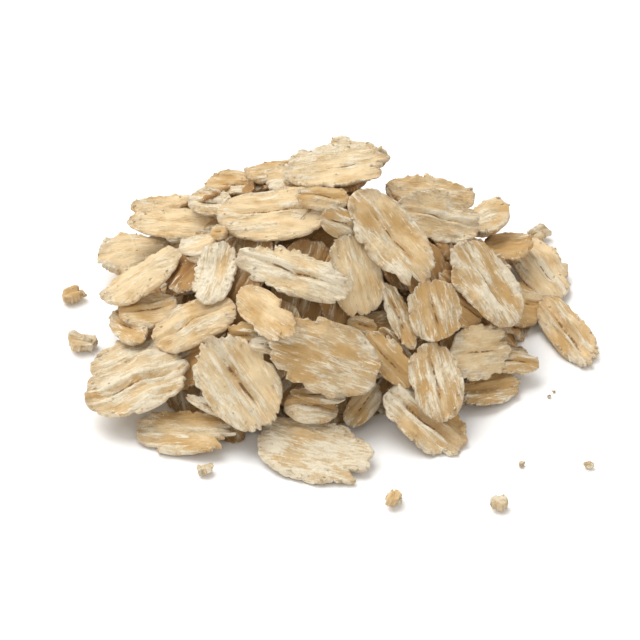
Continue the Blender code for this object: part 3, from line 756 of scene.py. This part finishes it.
def outline(look, angle, draw):
    """How far out a flake's edge is, from 0 to about 1, at each angle."""
    blunt = look["blunt"]
    edge = (np.abs(np.cos(angle)) ** blunt + np.abs(np.sin(angle)) ** blunt) ** (-1 / blunt)

    def knots(count):
        """Smooth noise round the edge, with that many values."""
        values = draw.uniform(-1, 1, count)
        place = angle / math.tau * count
        first = np.floor(place).astype(int) % count
        share = place % 1
        share = share * share * (3 - 2 * share)
        return values[first] * (1 - share) + values[(first + 1) % count] * share

    edge *= 1 + look["lobes"] * knots(5) + 0.6 * look["lobes"] * knots(11)
    ragged = np.clip(0.45 + 0.9 * knots(6), 0.12, 1)
    edge *= 1 + 0.35 * look["torn"] * knots(23)
    for count, size in TEETH:
        edge *= 1 - size * look["torn"] * ragged * 1.7 * np.maximum(knots(count), 0) ** 2
    for where, deep, half_width in look["bites"]:
        away = (angle - math.radians(where) + math.pi) % math.tau - math.pi
        away = np.abs(away) / math.radians(half_width)
        edge *= 1 - deep * np.clip(1 - away, 0, 1) ** 0.7 * (1 + 0.25 * knots(37))
    return edge


def flake_form(flake, look, sectors, rings, draw):
    """Points, faces, own millimetres and marks of one flake."""
    look = {**USUAL, **look}
    half_breadth = np.linalg.norm(flake.across)
    angle = np.arange(sectors) * math.tau / sectors
    edge = outline(look, angle, draw)
    table = draw.uniform(-1, 1, (TABLE_SIDE, TABLE_SIDE))
    shift = draw.uniform(0, FARTHEST_SHIFT, 2)
    lower_rings = max(rings // 4, 2)
    reach = [0.0] + list(UPPER_REACH * (np.arange(1, rings + 1) / rings) ** RING_CROWDING) + [1.0]
    reach += list(LOWER_REACH * (np.arange(lower_rings, 0, -1) / lower_rings)) + [0.0]
    side = [1.0] * (rings + 1) + [0.0] + [-1.0] * (lower_rings + 1)
    x, y, level, out = [], [], [], []
    for r, s in zip(reach, side):
        count = 1 if r == 0.0 else sectors
        x.append((r * edge * np.cos(angle))[:count])
        y.append((r * edge * np.sin(angle))[:count])
        level.append(np.full(count, s))
        out.append(np.full(count, r))
    x, y, level, out = (np.concatenate(values) for values in (x, y, level, out))
    across = y * half_breadth
    u = x * np.linalg.norm(flake.along) + shift[0]
    v = across + shift[1]

    def noise(along_size, across_size, forward=0.0, sideways=0.0):
        """Noise of that size in mm along and across the flake, read at a place of its own."""
        return soft_noise(u / along_size + forward, v / across_size + sideways, table)

    drift = 0.5 * noise(4, 4)
    ridges = noise(5, 0.55, 0, drift) + 0.6 * noise(2.4, 0.33, 9)
    dents = noise(1.7, 1.1) + 1.2 * noise(3.6, 2.4, 17)
    torn_skin = noise(3.1, 1.5, 5) + 0.5 * noise(1.2, 0.7, 0, 7)
    wrinkles = noise(1.1, 0.30, drift, 2 * drift) * np.clip(torn_skin + 0.4, 0, 1)
    grit = noise(0.33, 0.33) + 0.6 * noise(0.19, 0.19)
    furrow_line = look["furrow_at"] * half_breadth + 0.22 * noise(2.2, math.inf, 0, 3.3)
    furrow_off = np.abs(across - furrow_line)
    ends = np.clip(1.35 - np.abs(x) * 1.35, 0, 1) ** 0.5
    furrow = look["furrow"] * ends * np.exp(-(furrow_off / FURROW_HALF_WIDTH / look["groove"]) ** 2)
    lip_off = furrow_off - LIP_AWAY * look["groove"]
    lips = look["furrow"] * ends * np.exp(-(lip_off / LIP_HALF_WIDTH) ** 2)
    beads = np.maximum(noise(0.62, 0.55, 11), 0) * out ** EDGE_SHARPNESS
    flour = np.clip(look["flour"] + 0.45 * torn_skin + 0.45 * lips + 0.25 * out ** 8, 0, 1)
    relief = look["ridges"] * ridges + look["dents"] * dents + look["grit"] * (0.4 + flour) * grit
    relief += look["groove"] * (LIP_HEIGHT * lips - FURROW_DEPTH * furrow)
    relief += BEAD_HEIGHT * beads + WRINKLE_HEIGHT * wrinkles
    thickness = look["half_thickness"] * (1 - EDGE_THINNING * out ** 5)
    thickness *= 1 + 0.15 * noise(2.7, 2.7, 0, 2)
    relief *= np.where(level > 0, 1.0, np.where(level < 0, LOWER_RELIEF, EDGE_RELIEF))
    z = level * thickness + relief
    z += look["curl"] * (y ** 2 - 0.3) + look["bend"] * (x ** 2 - 0.3)
    z += look["wave"] * noise(5, 5, 3) * 2
    places = flake.point(x, y, z)
    places[:, 2] = np.maximum(places[:, 2], LOWEST + 0.12 * (level + 1))

    faces = []
    starts = np.concatenate(([0], np.cumsum([1 if r == 0.0 else sectors for r in reach])))[:-1]
    here = np.arange(sectors)
    after = (here + 1) % sectors
    for ring, (low, high) in enumerate(zip(starts, starts[1:])):
        if reach[ring] == 0.0:
            faces += [(low, high + i, high + j) for i, j in zip(here, after)]
        elif reach[ring + 1] == 0.0:
            faces += [(low + j, low + i, high) for i, j in zip(here, after)]
        else:
            faces += [(low + i, high + i, high + j, low + j) for i, j in zip(here, after)]
    furrow_mark = np.clip(furrow / max(look["furrow"], 0.01), 0, 1) * min(look["furrow"] * 1.6, 1)
    full = np.ones_like(out)
    marks = np.stack((flour, furrow_mark, out ** EDGE_SHARPNESS, full), axis=1)
    # a flake's tone, partly painted shade for flakes that lie in shade or face away from the light
    tone_and_shade = np.clip(look["tone_and_shade"] + draw.uniform(-0.06, 0.06), 0, 1)
    # brown tips toward the ends and edges: partly the bran's own brown, partly painted edge shade
    tips = look["tips"] * np.clip(out ** 5 * (0.6 + np.abs(x) ** 3), 0, 1)
    own = np.stack((full * tone_and_shade, full * look["toast"], tips, full), axis=1)
    return places, faces, np.stack((u, v), axis=1), marks, own


def plain_mesh(name, forms):
    """One mesh in metres of many forms, with their marks."""
    points, faces, places, marks, own = zip(*forms)
    starts = np.cumsum([0] + [len(part) for part in points])
    joined = [tuple(start + corner for corner in face)
              for start, part in zip(starts, faces) for face in part]
    mesh = bpy.data.meshes.new(name)
    mesh.from_pydata((np.concatenate(points) / 1000).tolist(), [], joined)
    corner_points = np.empty(len(mesh.loops), int)
    mesh.loops.foreach_get("vertex_index", corner_points)
    layer = mesh.uv_layers.new(name="flake")
    layer.data.foreach_set("uv", np.concatenate(places)[corner_points].ravel())
    for title, values in (("marks", marks), ("own", own)):
        attribute = mesh.attributes.new(title, "FLOAT_COLOR", "POINT")
        attribute.data.foreach_set("color", np.concatenate(values).ravel())
    mesh.polygons.foreach_set("use_smooth", [True] * len(mesh.polygons))
    return mesh


def stand_in(piece):
    """Shows an object in place of the plain heap."""
    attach(piece, "root")
    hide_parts("rolled_oats")


def make_piece(name, forms):
    """One object of many forms, that stands in for the plain heap."""
    mesh = plain_mesh(name, forms)
    mesh.materials.append(oat_finish(name))
    stand_in(in_scene(name, mesh))


# The bed inside the heap: a lumpy mound of broken flakes and meal, a little under the flakes
# and in their shade, and closely covered with small flakes. Its dark brown is painted shade of
# the deep gaps. The mound is one closed form, and the small flakes lie evenly over it on its
# slope, each turned and sized by chance.
BED_SINK = 1.8               # mm below the mound that the flakes are laid on
BED_INSET = 2.5              # and inside its foot, with more at the rear
REAR_INSET = 1.0
BED_SIDES = 120
BED_RINGS = 40
BED_LUMP = 0.7               # mm
BED_LUMP_SIZES = ((2.2, 1.0), (0.9, 0.5))  # in mm, and their share
# the bed's own marks: little flour and the darkest brown, painted shade of the deep gaps
BED_MARKS = (0.05, 0.0, 0.0, 1.0)
BED_PAINTED_SHADE = (1.0, 1.0, 0.0, 1.0)
BED_PLACE = 40               # of its middle in the finish's own millimetres
PACKED_COUNT = 190
PACKED_SEED = 300
PACKED_HALF_LENGTH = (2.4, 3.6)
PACKED_BREADTH = (0.6, 0.75)  # over its length
PACKED_SINK = 1.0
PACKED_TILT = 9.0            # degrees
EVEN_TURN = 2.39996          # turn from one to the next that spreads them evenly

bed_table = np.random.default_rng(SCENE_SEED).uniform(-1, 1, (TABLE_SIDE, TABLE_SIDE))
bed_points = []
bed_faces = []
for ring in range(BED_RINGS):
    for side in range(BED_SIDES):
        angle = side * math.tau / BED_SIDES
        foot = foot_radius(math.degrees(angle))
        foot -= BED_INSET + REAR_INSET * max(math.sin(angle), 0)
        x = foot * (1 - ring / BED_RINGS) * math.cos(angle)
        y = MOUND_CENTRE_Y + foot * (1 - ring / BED_RINGS) * math.sin(angle)
        lumps = sum(share * soft_noise(x / size, y / size, bed_table) for size, share in BED_LUMP_SIZES)
        height = float(mound_height(x, y)) - BED_SINK + BED_LUMP * float(lumps)
        bed_points.append((x, y, max(height, 0.05) if ring else 0.0))
for ring in range(BED_RINGS - 1):
    for side in range(BED_SIDES):
        a = ring * BED_SIDES + side
        b = ring * BED_SIDES + (side + 1) % BED_SIDES
        bed_faces.append((a, b, b + BED_SIDES, a + BED_SIDES))
last = (BED_RINGS - 1) * BED_SIDES
for side in range(BED_SIDES):
    after = (side + 1) % BED_SIDES
    bed_faces.append((last + side, last + after, len(bed_points)))
    bed_faces.append((after, side, len(bed_points) + 1))
bed_points += [(0.0, MOUND_CENTRE_Y, MOUND_HEIGHT - BED_SINK), (0.0, MOUND_CENTRE_Y, 0.0)]
bed_points = np.array(bed_points)
bed_marks, bed_painted_shade = (np.tile(values, (len(bed_points), 1)) for values in (BED_MARKS, BED_PAINTED_SHADE))
bed_form = (bed_points, bed_faces, bed_points[:, :2] + BED_PLACE, bed_marks, bed_painted_shade)

packed_forms = []
for number in range(PACKED_COUNT):
    draw = np.random.default_rng([SCENE_SEED, PACKED_SEED, number])
    angle = number * EVEN_TURN
    reach = foot_radius(math.degrees(angle)) * math.sqrt((number + 0.5) / PACKED_COUNT)
    x = reach * math.cos(angle)
    y = MOUND_CENTRE_Y + reach * math.sin(angle)
    normal = mound_normal(x, y)
    sideways = np.cross(normal, draw.normal(size=3))
    normal = turned(normal, sideways / np.linalg.norm(sideways), draw.uniform(0, PACKED_TILT))
    along = np.cross(normal, draw.normal(size=3))
    along *= draw.uniform(*PACKED_HALF_LENGTH) / np.linalg.norm(along)
    across = np.cross(normal, along) * draw.uniform(*PACKED_BREADTH)
    middle = np.array((x, y, max(float(mound_height(x, y)) - PACKED_SINK, 0.5)))
    # packed flakes in front of the middle get a brown that is painted shade
    packed_look = {"flour": draw.choice((0.1, 0.25, 0.4)), "tone_and_shade": draw.uniform(0.5, 0.9),
                   "toast": 0.3 if y < MOUND_CENTRE_Y else 0.0, "torn": 0.1, "wave": 0.1, "dents": 0.12}
    packed_forms.append(flake_form(Flake(middle, along, across, normal), packed_look, 40, 5, draw))
make_piece("bed", [bed_form] + packed_forms)

# The bedded flakes: whole flakes that lie under and behind the shown ones, of the same bran
# and flour. They show in the gaps, browner there in front with painted shade of the gaps, and
# all over the heap's back.
REAR_Y = MOUND_CENTRE_Y + 7.0
FRONT_PAINTED_SHADE_CHANCES = ((0.0, 0.05, 0.1, 0.2), (0.75, 1.0), (0.03, 0.11), 0.55)  # flour, tone, torn, toast; the dark tone and toast brown in front are painted shade
REAR_CHANCES = ((0.1, 0.3, 0.5), (0.1, 0.6), (0.05, 0.11), 0.0)


def bed_look(flake, draw):
    """A bedded flake's look by chance, browner in front with painted shade of the gaps."""
    flours, tones, tears, toast = REAR_CHANCES if flake.middle[1] > REAR_Y else FRONT_PAINTED_SHADE_CHANCES
    return {"flour": draw.choice(flours), "tone_and_shade": draw.uniform(*tones), "torn": draw.uniform(*tears),
            "furrow": draw.choice((0.2, 0.6, 0.9)), "curl": draw.uniform(-0.35, 0.3),
            "bend": draw.uniform(-0.25, 0.2), "toast": toast}


bedded_forms = []
for number, flake in enumerate(hidden_flakes):
    draw = np.random.default_rng([SCENE_SEED, number])
    bedded_forms.append(flake_form(flake, bed_look(flake, draw), 96, 10, draw))
make_piece("bedded_flakes", bedded_forms)

# Smooth flakes: the bran stayed on, so they are tan and even, with a thin furrow, fine ridges
# along them and a few white streaks. A bite is a notch: its direction, depth and half width.
shown_forms = []


def marked(flour, tone_and_shade, **others):
    """How floury and how brown a flake is, the brown partly painted shade where the flake lies in shade
    or faces away from the light, and whatever else sets it off from a usual one.
    """
    return {"flour": flour, "tone_and_shade": tone_and_shade, **others}


def named_flakes(title, looks, sectors=200, rings=18):
    """The shown flakes of one kind, each with its own draw."""
    forms = []
    for name, look in looks.items():
        draw = np.random.default_rng([SCENE_SEED, sum(name.encode())])
        forms.append(flake_form(seen_by_name[name], look, sectors, rings, draw))
    shown_forms.extend(forms)
    make_piece(title, forms)


# In these tables a flake's tone is partly painted shade: flakes in shade or facing away from the light
# are made browner.
named_flakes("smooth_flakes", {
    "upper left large": marked(0.2, 0.0, furrow=0.7, furrow_at=0.15, tips=0.7, torn=0.05),
    "small smooth": marked(0.1, 0.4, furrow=0.1, lobes=0.06,
                           bites=((64, 0.40, 15), (-100, 0.14, 14))),
    "left middle": marked(0.15, 0.2, furrow=0.55),
    "long diagonal": marked(0.2, 0.05, furrow=0.2, curl=-0.5, tips=0.5),
    "far left": marked(0.35, 0.0, furrow=0.4, torn=0.12),
    "back left tan": marked(0.2, 0.15, furrow=0.3, tips=1.0),
    "left bottom": marked(0.2, 0.4, furrow=0.5, torn=0.11,
                          bites=((-30, 0.25, 12), (14, 0.12, 7), (-131, 0.15, 8))),
    "left half hidden": marked(0.15, 0.5),
    "left cream": marked(0.4, 0.1, furrow=0.1),
    "back right smooth": marked(0.2, 0.3, furrow=0.3),
    "far right": marked(0.25, 0.05, furrow=0.8, bites=((70, 0.15, 12),)),
    "lone right": marked(0.3, 0.35, groove=1.6, furrow=1.0, lobes=0.05,
                         bites=((4, 0.12, 7), (35, 0.1, 6))),
    "middle upright": marked(0.25, 0.1, furrow=0.3, lobes=0.07, bites=((-20, 0.12, 8),)),
    "middle shaded": marked(0.2, 0.5),
    "right shaded tan": marked(0.2, 0.6),
    # it lies in shade, and its dark tone and brown are painted shade
    "brown under right": marked(0.1, 0.8, toast=0.3),
    "right notched": marked(0.25, 0.1, torn=0.11,
                            bites=((25, 0.2, 8), (-26, 0.16, 8), (60, 0.08, 6))),
})

# Floury flakes: the rollers tore the bran off, so white endosperm stands open in rough
# patches and lumps, and the edges are frayed.
named_flakes("floury_flakes", {
    "floury chunk": marked(0.75, 0.25, grit=0.08, dents=0.2, torn=0.12, furrow=0.1),
    "centre long": marked(0.6, 0.0, grit=0.05, furrow=0.8, torn=0.11, lobes=0.07),
    "centre left large": marked(0.4, 0.1, groove=1.6, furrow=1.0,
                                bites=((165, 0.15, 8), (93, 0.14, 8), (120, 0.08, 5))),
    "centre large": marked(0.4, 0.6, torn=0.11, furrow=0.3, lobes=0.06,
                           bites=((-104, 0.12, 7), (-80, 0.1, 6), (-128, 0.14, 7), (-58, 0.08, 5))),
    "right long": marked(0.45, 0.6, grit=0.05, furrow=0.7),
    "right front tall": marked(0.45, 0.7, grit=0.06, furrow=0.8),
    "front right": marked(0.4, 0.4, groove=1.6, furrow=1.0, torn=0.11),
    "upper right large": marked(0.4, 0.4, grit=0.06, bites=((-27, 0.22, 8), (-61, 0.1, 7))),
    "wavy": marked(0.3, 0.75, torn=0.12, wave=0.3),
    "narrow ribbed": marked(0.4, 0.45),
    "granular": marked(0.75, 0.3, grit=0.1, dents=0.2),
    "curled": marked(0.4, 0.3, curl=0.5),
    "back pale": marked(0.5, 0.2, furrow=0.2),
    "streaked behind left": marked(0.6, 0.2),
})

# Streaked flakes: bran and bared endosperm lie in bands along the flake, raised and sunk in
# turn, where the rollers took off only the ridges.
named_flakes("streaked_flakes", {
    "left large": marked(0.5, 0.3, groove=1.6, furrow=1.0, bites=((-60, 0.06, 5), (-30, 0.07, 5))),
    "front bottom": marked(0.7, 0.45, ridges=0.1, furrow=0.1,
                           bites=((-31, 0.22, 8), (-55, 0.06, 5))),
    "top": marked(0.4, 0.1, torn=0.11, bites=((16, 0.15, 6), (-25, 0.1, 7), (-50, 0.08, 5))),
    "back right streaked": marked(0.45, 0.2),
    "low right": marked(0.15, 0.8, groove=1.6, furrow=0.5),
    "right folded": marked(0.4, 0.3, furrow=0.4),
    "right shaded": marked(0.2, 0.6),
    "back tan": marked(0.15, 0.5, furrow=0.2),
    "back left thin": marked(0.2, 0.3, furrow=0.2),
    "left fragment": marked(0.4, 0.4),
    "top shaded": marked(0.2, 0.5),
})

# Scraps: corners, splinters and round ends of bran and endosperm, broken off other flakes by
# the rollers and in the bag, lying among the whole ones.
named_flakes("scraps", {
    "dark sliver": marked(0.4, 0.7),
    "under right": marked(0.2, 0.7),
    # The next three lie in shade: their dark tone and brown are painted shade.
    "brown edge": marked(0.1, 0.9, toast=0.8),
    "orange piece": marked(0.1, 0.9, toast=0.4),
    "right brown scrap": marked(0.1, 0.9, toast=0.6),
    "right pointed": marked(0.3, 0.6),
    "front small": marked(0.3, 0.5),
    "front leaning": marked(0.3, 0.5),
    "front splinter": marked(0.4, 0.5),
    "shaded fragment": marked(0.3, 0.6),
    "centre scrap": marked(0.3, 0.6),
    "centre gap": marked(0.3, 0.6),
    "right strip": marked(0.3, 0.6),
    "round grain": marked(0.2, 0.5, half_thickness=0.6),
    "top crumb": marked(0.2, 0.5, half_thickness=0.5),
}, 72, 10)

# Meal: dust and chips of broken flakes that cling to the flakes and lie between them, floury
# and tan, strewn by Geometry Nodes over what faces up, most on the flakes' torn edges.
MEAL_SIZE = (0.12, 0.42)     # of a chip one millimetre long
MEAL_DENSITY = 900000.0      # chips a square metre
MEAL_SEED = 3
EDGE_SHARE = 2.5             # of that density at an edge, and elsewhere
OPEN_SHARE = 0.04
CHIP_KINDS = 4
CHIP_SEED = 900
CHIP_ALONG = (0.5, 0, 0)     # mm, half of it
CHIP_LIFT = 0.5              # mm over the floor, where a chip is formed
CHIP_TURNS = (math.tau, 0.5, math.tau)

meal_chips = bpy.data.collections.new("meal chips")
bpy.context.scene.collection.children.link(meal_chips)
for number in range(CHIP_KINDS):
    draw = np.random.default_rng([SCENE_SEED, CHIP_SEED + number])
    chip_across = (0, draw.uniform(0.28, 0.45), 0)
    chip_place = Flake(*np.array(((0, 0, CHIP_LIFT), CHIP_ALONG, chip_across, UPWARD)))
    chip_look = {"half_thickness": draw.uniform(0.15, 0.3), "lobes": 0.3, "torn": 0.3, "dents": 0.1,
                 "wave": 0.0, "furrow": 0.0, "curl": 0.0, "bend": 0.0, "flour": 0.5 + 0.2 * number,
                 "tone_and_shade": 0.1}
    chip_form = flake_form(chip_place, chip_look, 12, 3, draw)
    chip_form[0][:, 2] -= CHIP_LIFT
    meal_chips.objects.link(bpy.data.objects.new("meal chip", plain_mesh("meal chip", [chip_form])))

meal_tree = bpy.data.node_groups.new("strew meal", "GeometryNodeTree")
add_sockets(meal_tree, "INPUT", {"Geometry": "Geometry"})
knobs = add_sockets(meal_tree, "INPUT", {"Density": "Float", "Smallest": "Float", "Largest": "Float",
                                         "Chips": "Collection", "Material": "Material"})
add_sockets(meal_tree, "OUTPUT", {"Geometry": "Geometry"})
given = meal_tree.nodes.new("NodeGroupInput").outputs
marks_read = add_node(meal_tree, "GeometryNodeInputNamedAttribute", {"data_type": "FLOAT_COLOR"},
                      {"Name": "marks"})
mark_parts = add_node(meal_tree, "FunctionNodeSeparateColor", None, {
    "Color": marks_read.outputs["Attribute"]})
facing = add_node(meal_tree, "ShaderNodeSeparateXYZ", None, {
    0: meal_tree.nodes.new("GeometryNodeInputNormal").outputs[0]})
upward = maths(meal_tree, "MAXIMUM", facing.outputs[2], 0.0)
share = total(meal_tree, (mark_parts.outputs[2], EDGE_SHARE), (OPEN_SHARE,))
strewn = add_node(meal_tree, "GeometryNodeDistributePointsOnFaces", None, {
    "Mesh": given["Geometry"], "Density": product(meal_tree, share, upward, given["Density"]),
    "Seed": MEAL_SEED})
chosen = add_node(meal_tree, "GeometryNodeCollectionInfo", None, {
    "Collection": given["Chips"], "Separate Children": True, "Reset Children": True})
turn = add_node(meal_tree, "FunctionNodeRandomValue", {"data_type": "FLOAT_VECTOR"}, {
    0: (0, 0, 0), 1: CHIP_TURNS, "Seed": MEAL_SEED + 1})
size = add_node(meal_tree, "FunctionNodeRandomValue", {"data_type": "FLOAT"}, {
    2: given["Smallest"], 3: given["Largest"], "Seed": MEAL_SEED + 2})
placed = add_node(meal_tree, "GeometryNodeInstanceOnPoints", None, {
    "Points": strewn.outputs["Points"], "Instance": chosen.outputs[0], "Pick Instance": True,
    "Rotation": turn.outputs[0], "Scale": size.outputs[1]})
real = add_node(meal_tree, "GeometryNodeRealizeInstances", None, {0: placed.outputs[0]})
finished = add_node(meal_tree, "GeometryNodeSetMaterial", None, {
    "Geometry": real.outputs[0], "Material": given["Material"]})
add_node(meal_tree, "NodeGroupOutput", None, {0: finished.outputs[0]})

strewn_over = in_scene("meal ground", plain_mesh("meal ground", [bed_form] + shown_forms))
strew = strewn_over.modifiers.new("strew meal", "NODES")
strew.node_group = meal_tree
for knob, value in zip(knobs, (MEAL_DENSITY, *MEAL_SIZE, meal_chips, oat_finish("meal"))):
    strew[knob] = value
evaluated = strewn_over.evaluated_get(bpy.context.evaluated_depsgraph_get())
meal_mesh = bpy.data.meshes.new_from_object(evaluated)
meal_mesh.name = "meal"
for thing in [strewn_over] + list(meal_chips.objects):
    bpy.data.objects.remove(thing, do_unlink=True)
bpy.data.collections.remove(meal_chips)
stand_in(in_scene("meal", meal_mesh))

# Crumbs: bits of broken flakes that fell on the surface round the heap, thick for their size.
# Each is three bits of bran and endosperm that still hold together, turned their own way.
CRUMBS = {                   # place in x and y, length, breadth, heading, half thickness
    "wedge": (-31.9, 5.1, 3.0, 2.2, 30, 0.6), "block": (-30.0, -4.1, 3.6, 2.8, 0, 0.7),
    "left front": (-15.2, -26.6, 1.9, 1.6, 20, 0.5), "front": (5.9, -31.8, 2.3, 1.7, 80, 0.6),
    "front right": (17.6, -32.6, 2.4, 1.7, -20, 0.55), "right": (28.0, -25.7, 1.2, 0.8, 10, 0.35),
    "white": (20.4, -25.3, 0.9, 0.6, 60, 0.25), "star": (24.1, 17.2, 2.9, 2.2, 40, 0.7),
    "speck": (24.1, -13.1, 0.5, 0.3, 40, 0.12), "far speck": (24.7, -12.2, 0.35, 0.2, 10, 0.08),
}
CRUMB_BITS = ((0.0, 0.0, 1.0), (0.45, 0.25, 0.62), (-0.40, 0.30, 0.55))  # place and size, as shares
CRUMB_SEED = 500
CRUMB_BIT_LENGTH = 0.42      # half, of the crumb's
CRUMB_TILT = 0.45
CRUMB_TURN = 0.9

crumb_forms = []
for number, (x, y, length, breadth, heading, half_thickness) in enumerate(CRUMBS.values()):
    draw = np.random.default_rng([SCENE_SEED, CRUMB_SEED + number])
    for bit_x, bit_y, share in CRUMB_BITS:
        turn = math.radians(heading) + draw.uniform(-CRUMB_TURN, CRUMB_TURN) * (1 - share)
        lean = np.array((*draw.uniform(-CRUMB_TILT, CRUMB_TILT, 2), 1.0))
        lean /= np.linalg.norm(lean)
        along = np.cross(np.array((-math.sin(turn), math.cos(turn), 0.0)), lean)
        along *= share * CRUMB_BIT_LENGTH * length / np.linalg.norm(along)
        across = np.cross(lean, along) * breadth / length
        height = half_thickness * (0.9 + share * 0.6)
        middle = np.array((x + bit_x * length / 2, y + bit_y * breadth / 2, height))
        look = {"half_thickness": half_thickness * share, "blunt": 4.0, "lobes": 0.25, "torn": 0.28,
                "curl": 0.0, "bend": 0.0, "wave": 0.0, "ridges": 0.05, "dents": 0.2, "grit": 0.08,
                "furrow": 0.3, "flour": draw.uniform(0.2, 0.6), "tone_and_shade": 0.3}
        crumb_forms.append(flake_form(Flake(middle, along, across, lean), look, 40, 6, draw))
make_piece("crumbs", crumb_forms)

# The studio's floor: a plain, dull white board under the heap, flat and far wider than the
# picture, painted and not part of the heap.
FLOOR_SIZE = 4.0             # m
FLOOR_WHITE = (0.93, 0.93, 0.93, 1)
FLOOR_ROUGHNESS = 0.9

floor_mesh = bpy.data.meshes.new("floor")
half = FLOOR_SIZE / 2
floor_mesh.from_pydata([(-half, -half, 0), (half, -half, 0), (half, half, 0), (-half, half, 0)], [],
                       [(0, 1, 2, 3)])
floor_material = bpy.data.materials.new("floor")
floor_material.use_nodes = True
floor_shader = floor_material.node_tree.nodes["Principled BSDF"]
floor_shader.inputs["Base Color"].default_value = FLOOR_WHITE
floor_shader.inputs["Roughness"].default_value = FLOOR_ROUGHNESS
floor_shader.inputs["Specular IOR Level"].default_value = 0.0
floor_mesh.materials.append(floor_material)
in_scene("floor", floor_mesh)

# The studio's light: one wide soft light from behind on the left, a faint white card that
# throws some of it back from in front, and warm white all round.
WORLD_WHITE = (1.0, 0.97, 0.93, 1)
WORLD_STRENGTH = 0.66
LIGHTS = {                   # strength, its width in degrees, and its turn
    "window": (2.6, 50, (-20, -22, 0)),
    "white card": (0.4, 90, (50, -10, 0)),
}

world = bpy.data.worlds.new("studio")
bpy.context.scene.world = world
world.use_nodes = True
background = world.node_tree.nodes["Background"]
background.inputs["Color"].default_value = WORLD_WHITE
background.inputs["Strength"].default_value = WORLD_STRENGTH
for name, (strength, width, turn) in LIGHTS.items():
    light = bpy.data.lights.new(name, "SUN")
    light.energy = strength
    light.angle = math.radians(width)
    in_scene(name, light).rotation_euler = [math.radians(degrees) for degrees in turn]
bpy.context.scene.view_settings.view_transform = "Standard"
